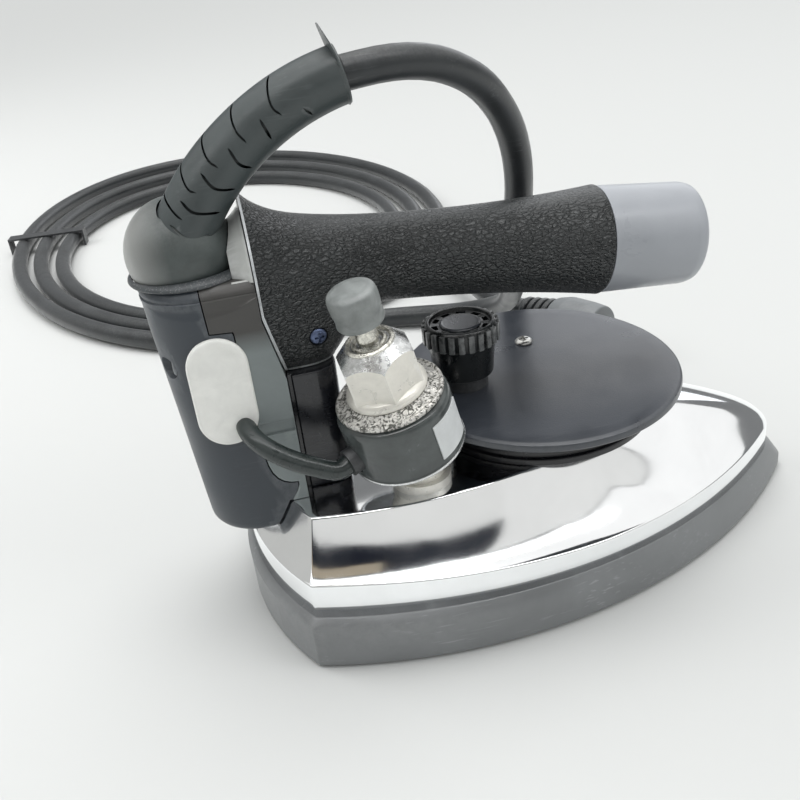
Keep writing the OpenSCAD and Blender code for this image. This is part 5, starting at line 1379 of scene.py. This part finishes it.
cap_profile = rounded([(14.15, 0.1), (17.3, 0.1), (17.25, 0.6), (CAP_R, CAP_L - 4.2), (CAP_R - 0.7, CAP_L - 1.4),
                       (CAP_R - 2.6, CAP_L), (4.4, CAP_L), (4.2, CAP_L - 0.3), (4.2, CAP_L - 3.4), (2.2, CAP_L - 3.4),
                       (2.2, CAP_L - 8), (14.0, CAP_L - 8), (14.15, CAP_L - 9)], 0.9, 5) + [(14.15, 0.1)]
finish_piece("handle_end_cap", lathe(cap_profile, 128, at_handle @ Matrix.Translation((0, 0, GRIP_L + 0.05))), cap_grey,
             replaces=("end_cap",))
screws("cap_cross_screw", [at_handle @ Matrix.Translation((0, 0, GRIP_L + 0.05 + CAP_L - 3.4))], 3.8, 2, 2, 4.5, plated,
       "cap_screw")
screws("flare_cross_screw", [at_flare], 2.6, 1.6, 1.6, 5, screw_blue, "flare_screw")

# Thumb button on the far side
button_profile = rounded([(0, 0), (6, 0), (6, 6.8), (5.2, 8.0), (2.5, 7.75), (0, 7.6)], 0.7)
finish_piece("thumb_button", lathe(button_profile, 64, Matrix.Translation((-69.7, 15.5, 97)) @ Matrix.Rotation(-math.pi / 2, 4, "X")),
             red_button, body="button", replaces=("steam_button",))


# ---------------------------------------------------------------- steam valve

VALVE_R, VALVE_H, HEX_AF, HEX_H = 18.0, 20.0, 21.0, 12.0
at_valve = (Matrix.Translation((-47, -29, 60)) @ Matrix.Rotation(math.radians(-12.5), 4, "Y")
            @ Matrix.Rotation(math.radians(6), 4, "X"))
housing_profile = rounded([(4.6, 0), (VALVE_R - 0.2, 0), (VALVE_R, 0.5), (VALVE_R, 1.2), (VALVE_R - 0.35, 1.5), (VALVE_R - 0.35, VALVE_H - 2.6),
                           (VALVE_R - 0.9, VALVE_H - 1.1), (VALVE_R - 1.9, VALVE_H - 0.5), (VALVE_R - 2.6, VALVE_H - 0.15), (4.6, VALVE_H - 0.1)],
                          0.5, 4) + [(4.6, 0)]
finish_piece("coil_housing", lathe(housing_profile, 128, at_valve), housing_black,
             replaces=("valve_housing",))
rim_bm = lathe(rounded([(VALVE_R - 1.0, -0.02), (VALVE_R - 0.1, -0.02), (VALVE_R + 0.12, 0.35), (VALVE_R + 0.12, 0.9), (VALVE_R - 0.2, 1.15)], 0.2, 3)
               + [(VALVE_R - 1.0, 0.9), (VALVE_R - 1.0, -0.02)], 128, at_valve)
finish_piece("coil_housing_rim", rim_bm, bare_metal)
ring_profile = rounded([(4.6, 20.0), (16.3, 20.0), (16.75, 20.5), (16.75, 21.3), (16.35, 21.75), (15.8, 21.8), (15.5, 21.5), (12.9, 22.3), (12.5, 22.9),
                        (11.2, 23.0), (4.6, 23.0)], 0.3, 3)
finish_piece("struck_metal_ring", lathe(ring_profile + [(4.6, 20.0)], 160, at_valve), ring_metal,
             replaces=("valve_ring",), angle=50)


def hex_nut():
    """A hexagon with a round collar at its foot and a cone of bright metal on top."""
    bm = bmesh.new()
    across = HEX_AF / 2 / math.cos(math.pi / 6)
    top = HEX_H + 5.4
    bmesh.ops.create_cone(bm, cap_ends=True, segments=6, radius1=across, radius2=across, depth=top)
    bmesh.ops.translate(bm, vec=(0, 0, top / 2), verts=bm.verts)
    outer = lathe([(across + 6, -3), (across + 6, top + 3), (7.85, top + 0.001), (10.8, HEX_H + 2.4),
                   (across - 0.35, HEX_H + 1.4), (across + 0.05, HEX_H + 0.4), (across + 0.05, 2.2), (across - 0.5, 1.2),
                   (HEX_AF / 2 + 0.2, -0.001), (across + 6, -3)], 128)
    bm = cut_with(bm, outer)
    foot = lathe(rounded([(0, 0), (12.2, 0), (12.5, 0.4), (12.3, 1.6), (11.6, 2.5), (10.4, 3.1), (0, 3.1)], 0.4), 128)
    bm = cut_with(bm, foot, "UNION")
    for face in bm.faces:
        face.material_index = 1 if face.calc_center_median().z > HEX_H + 0.5 and face.normal.z > 0.3 else 0
    bmesh.ops.transform(bm, matrix=at_valve @ Matrix.Translation((0, 0, 23)), verts=bm.verts)
    return bm


finish_piece("valve_hex_nut", hex_nut(), hex_cream, replaces=("valve_hex",), angle=25, bevel=0.2,
             materials=(bare_metal,))
boss = [(0, 36.0), (7.75, 36.0), (7.75, 39.9), (7.5, 40.8), (6.9, 41.3), (6.3, 41.2), (6.0, 40.4), (5.5, 40.2), (5.1, 40.9), (4.5, 41.2), (4.1, 40.9),
        (3.9, 40.1), (3.1, 39.9)]
for z in (42.0, 45.0, 48.0):
    boss += [(2.9, z - 0.02), (3.5, z), (3.0, z + 2.4)]
boss += [(2.9, 52.0), (1.7, 52.0), (1.7, 37.0), (0, 37.0)]
finish_piece("inlet_boss_and_nipple", lathe(boss, 96, at_valve), boss_metal, replaces=("inlet_nipple",), angle=28,
             bevel=0.1)
dust_profile = rounded([(4.4, 47.6), (6.9, 47.6), (7.2, 48.2), (6.9, 50.4), (7.35, 52.6), (7.4, 56.2), (7.0, 57.8), (5.4, 58.5), (2.6, 58.65),
                        (0, 58.7)], 1.0, 4)
dust_profile += [(0, 53.5), (4.4, 53.5), (4.4, 47.6)]
finish_piece("vinyl_dust_cap", lathe(dust_profile, 72, at_valve), cap_rubber, body="cap", replaces=("dust_cap",), angle=40)


def label():
    bm = bmesh.new()
    sections = []
    steps = 24
    turn = math.radians(-43)
    for k in range(steps + 1):
        a = turn + math.radians(mix(-23, 23, k / steps))
        inner, outer = VALVE_R - 0.4, VALVE_R + 0.1
        way = Vector((math.cos(a), math.sin(a), 0))
        sections.append([way * inner + Z * 3, way * outer + Z * 3, way * outer + Z * 15.5, way * inner + Z * 15.5])
    drawn_out(bm, sections)
    bmesh.ops.transform(bm, matrix=at_valve, verts=bm.verts)
    return bm


finish_piece("blank_side_label", label(), label_paper, replaces=("valve_label",))
LEAD_TURN = math.radians(18)
lead_route = [(-94.5, -16, 74.8), (-94.5, -23.5, 74.8), (-93.6, -27.6, 74), (-91.2, -31, 72.2), (-87.4, -33.6, 69.6),
              (-82.6, -35.4, 66.8), (-77.6, -36.5, 64.4)]
for d in (VALVE_R + 6, VALVE_R + 1, VALVE_R - 1.4):
    lead_route.append(tuple(at_valve @ Vector((-d * math.cos(LEAD_TURN), -d * math.sin(LEAD_TURN), 7.5))))
lead_line = flowing(lead_route, 1.2)
bm = bmesh.new()
swept(bm, lead_line, [3.0] * len(lead_line), (0, 0, 1), 32)
finish_piece("solenoid_sheathed_lead", bm, lead_sheath, replaces=("solenoid_lead",))
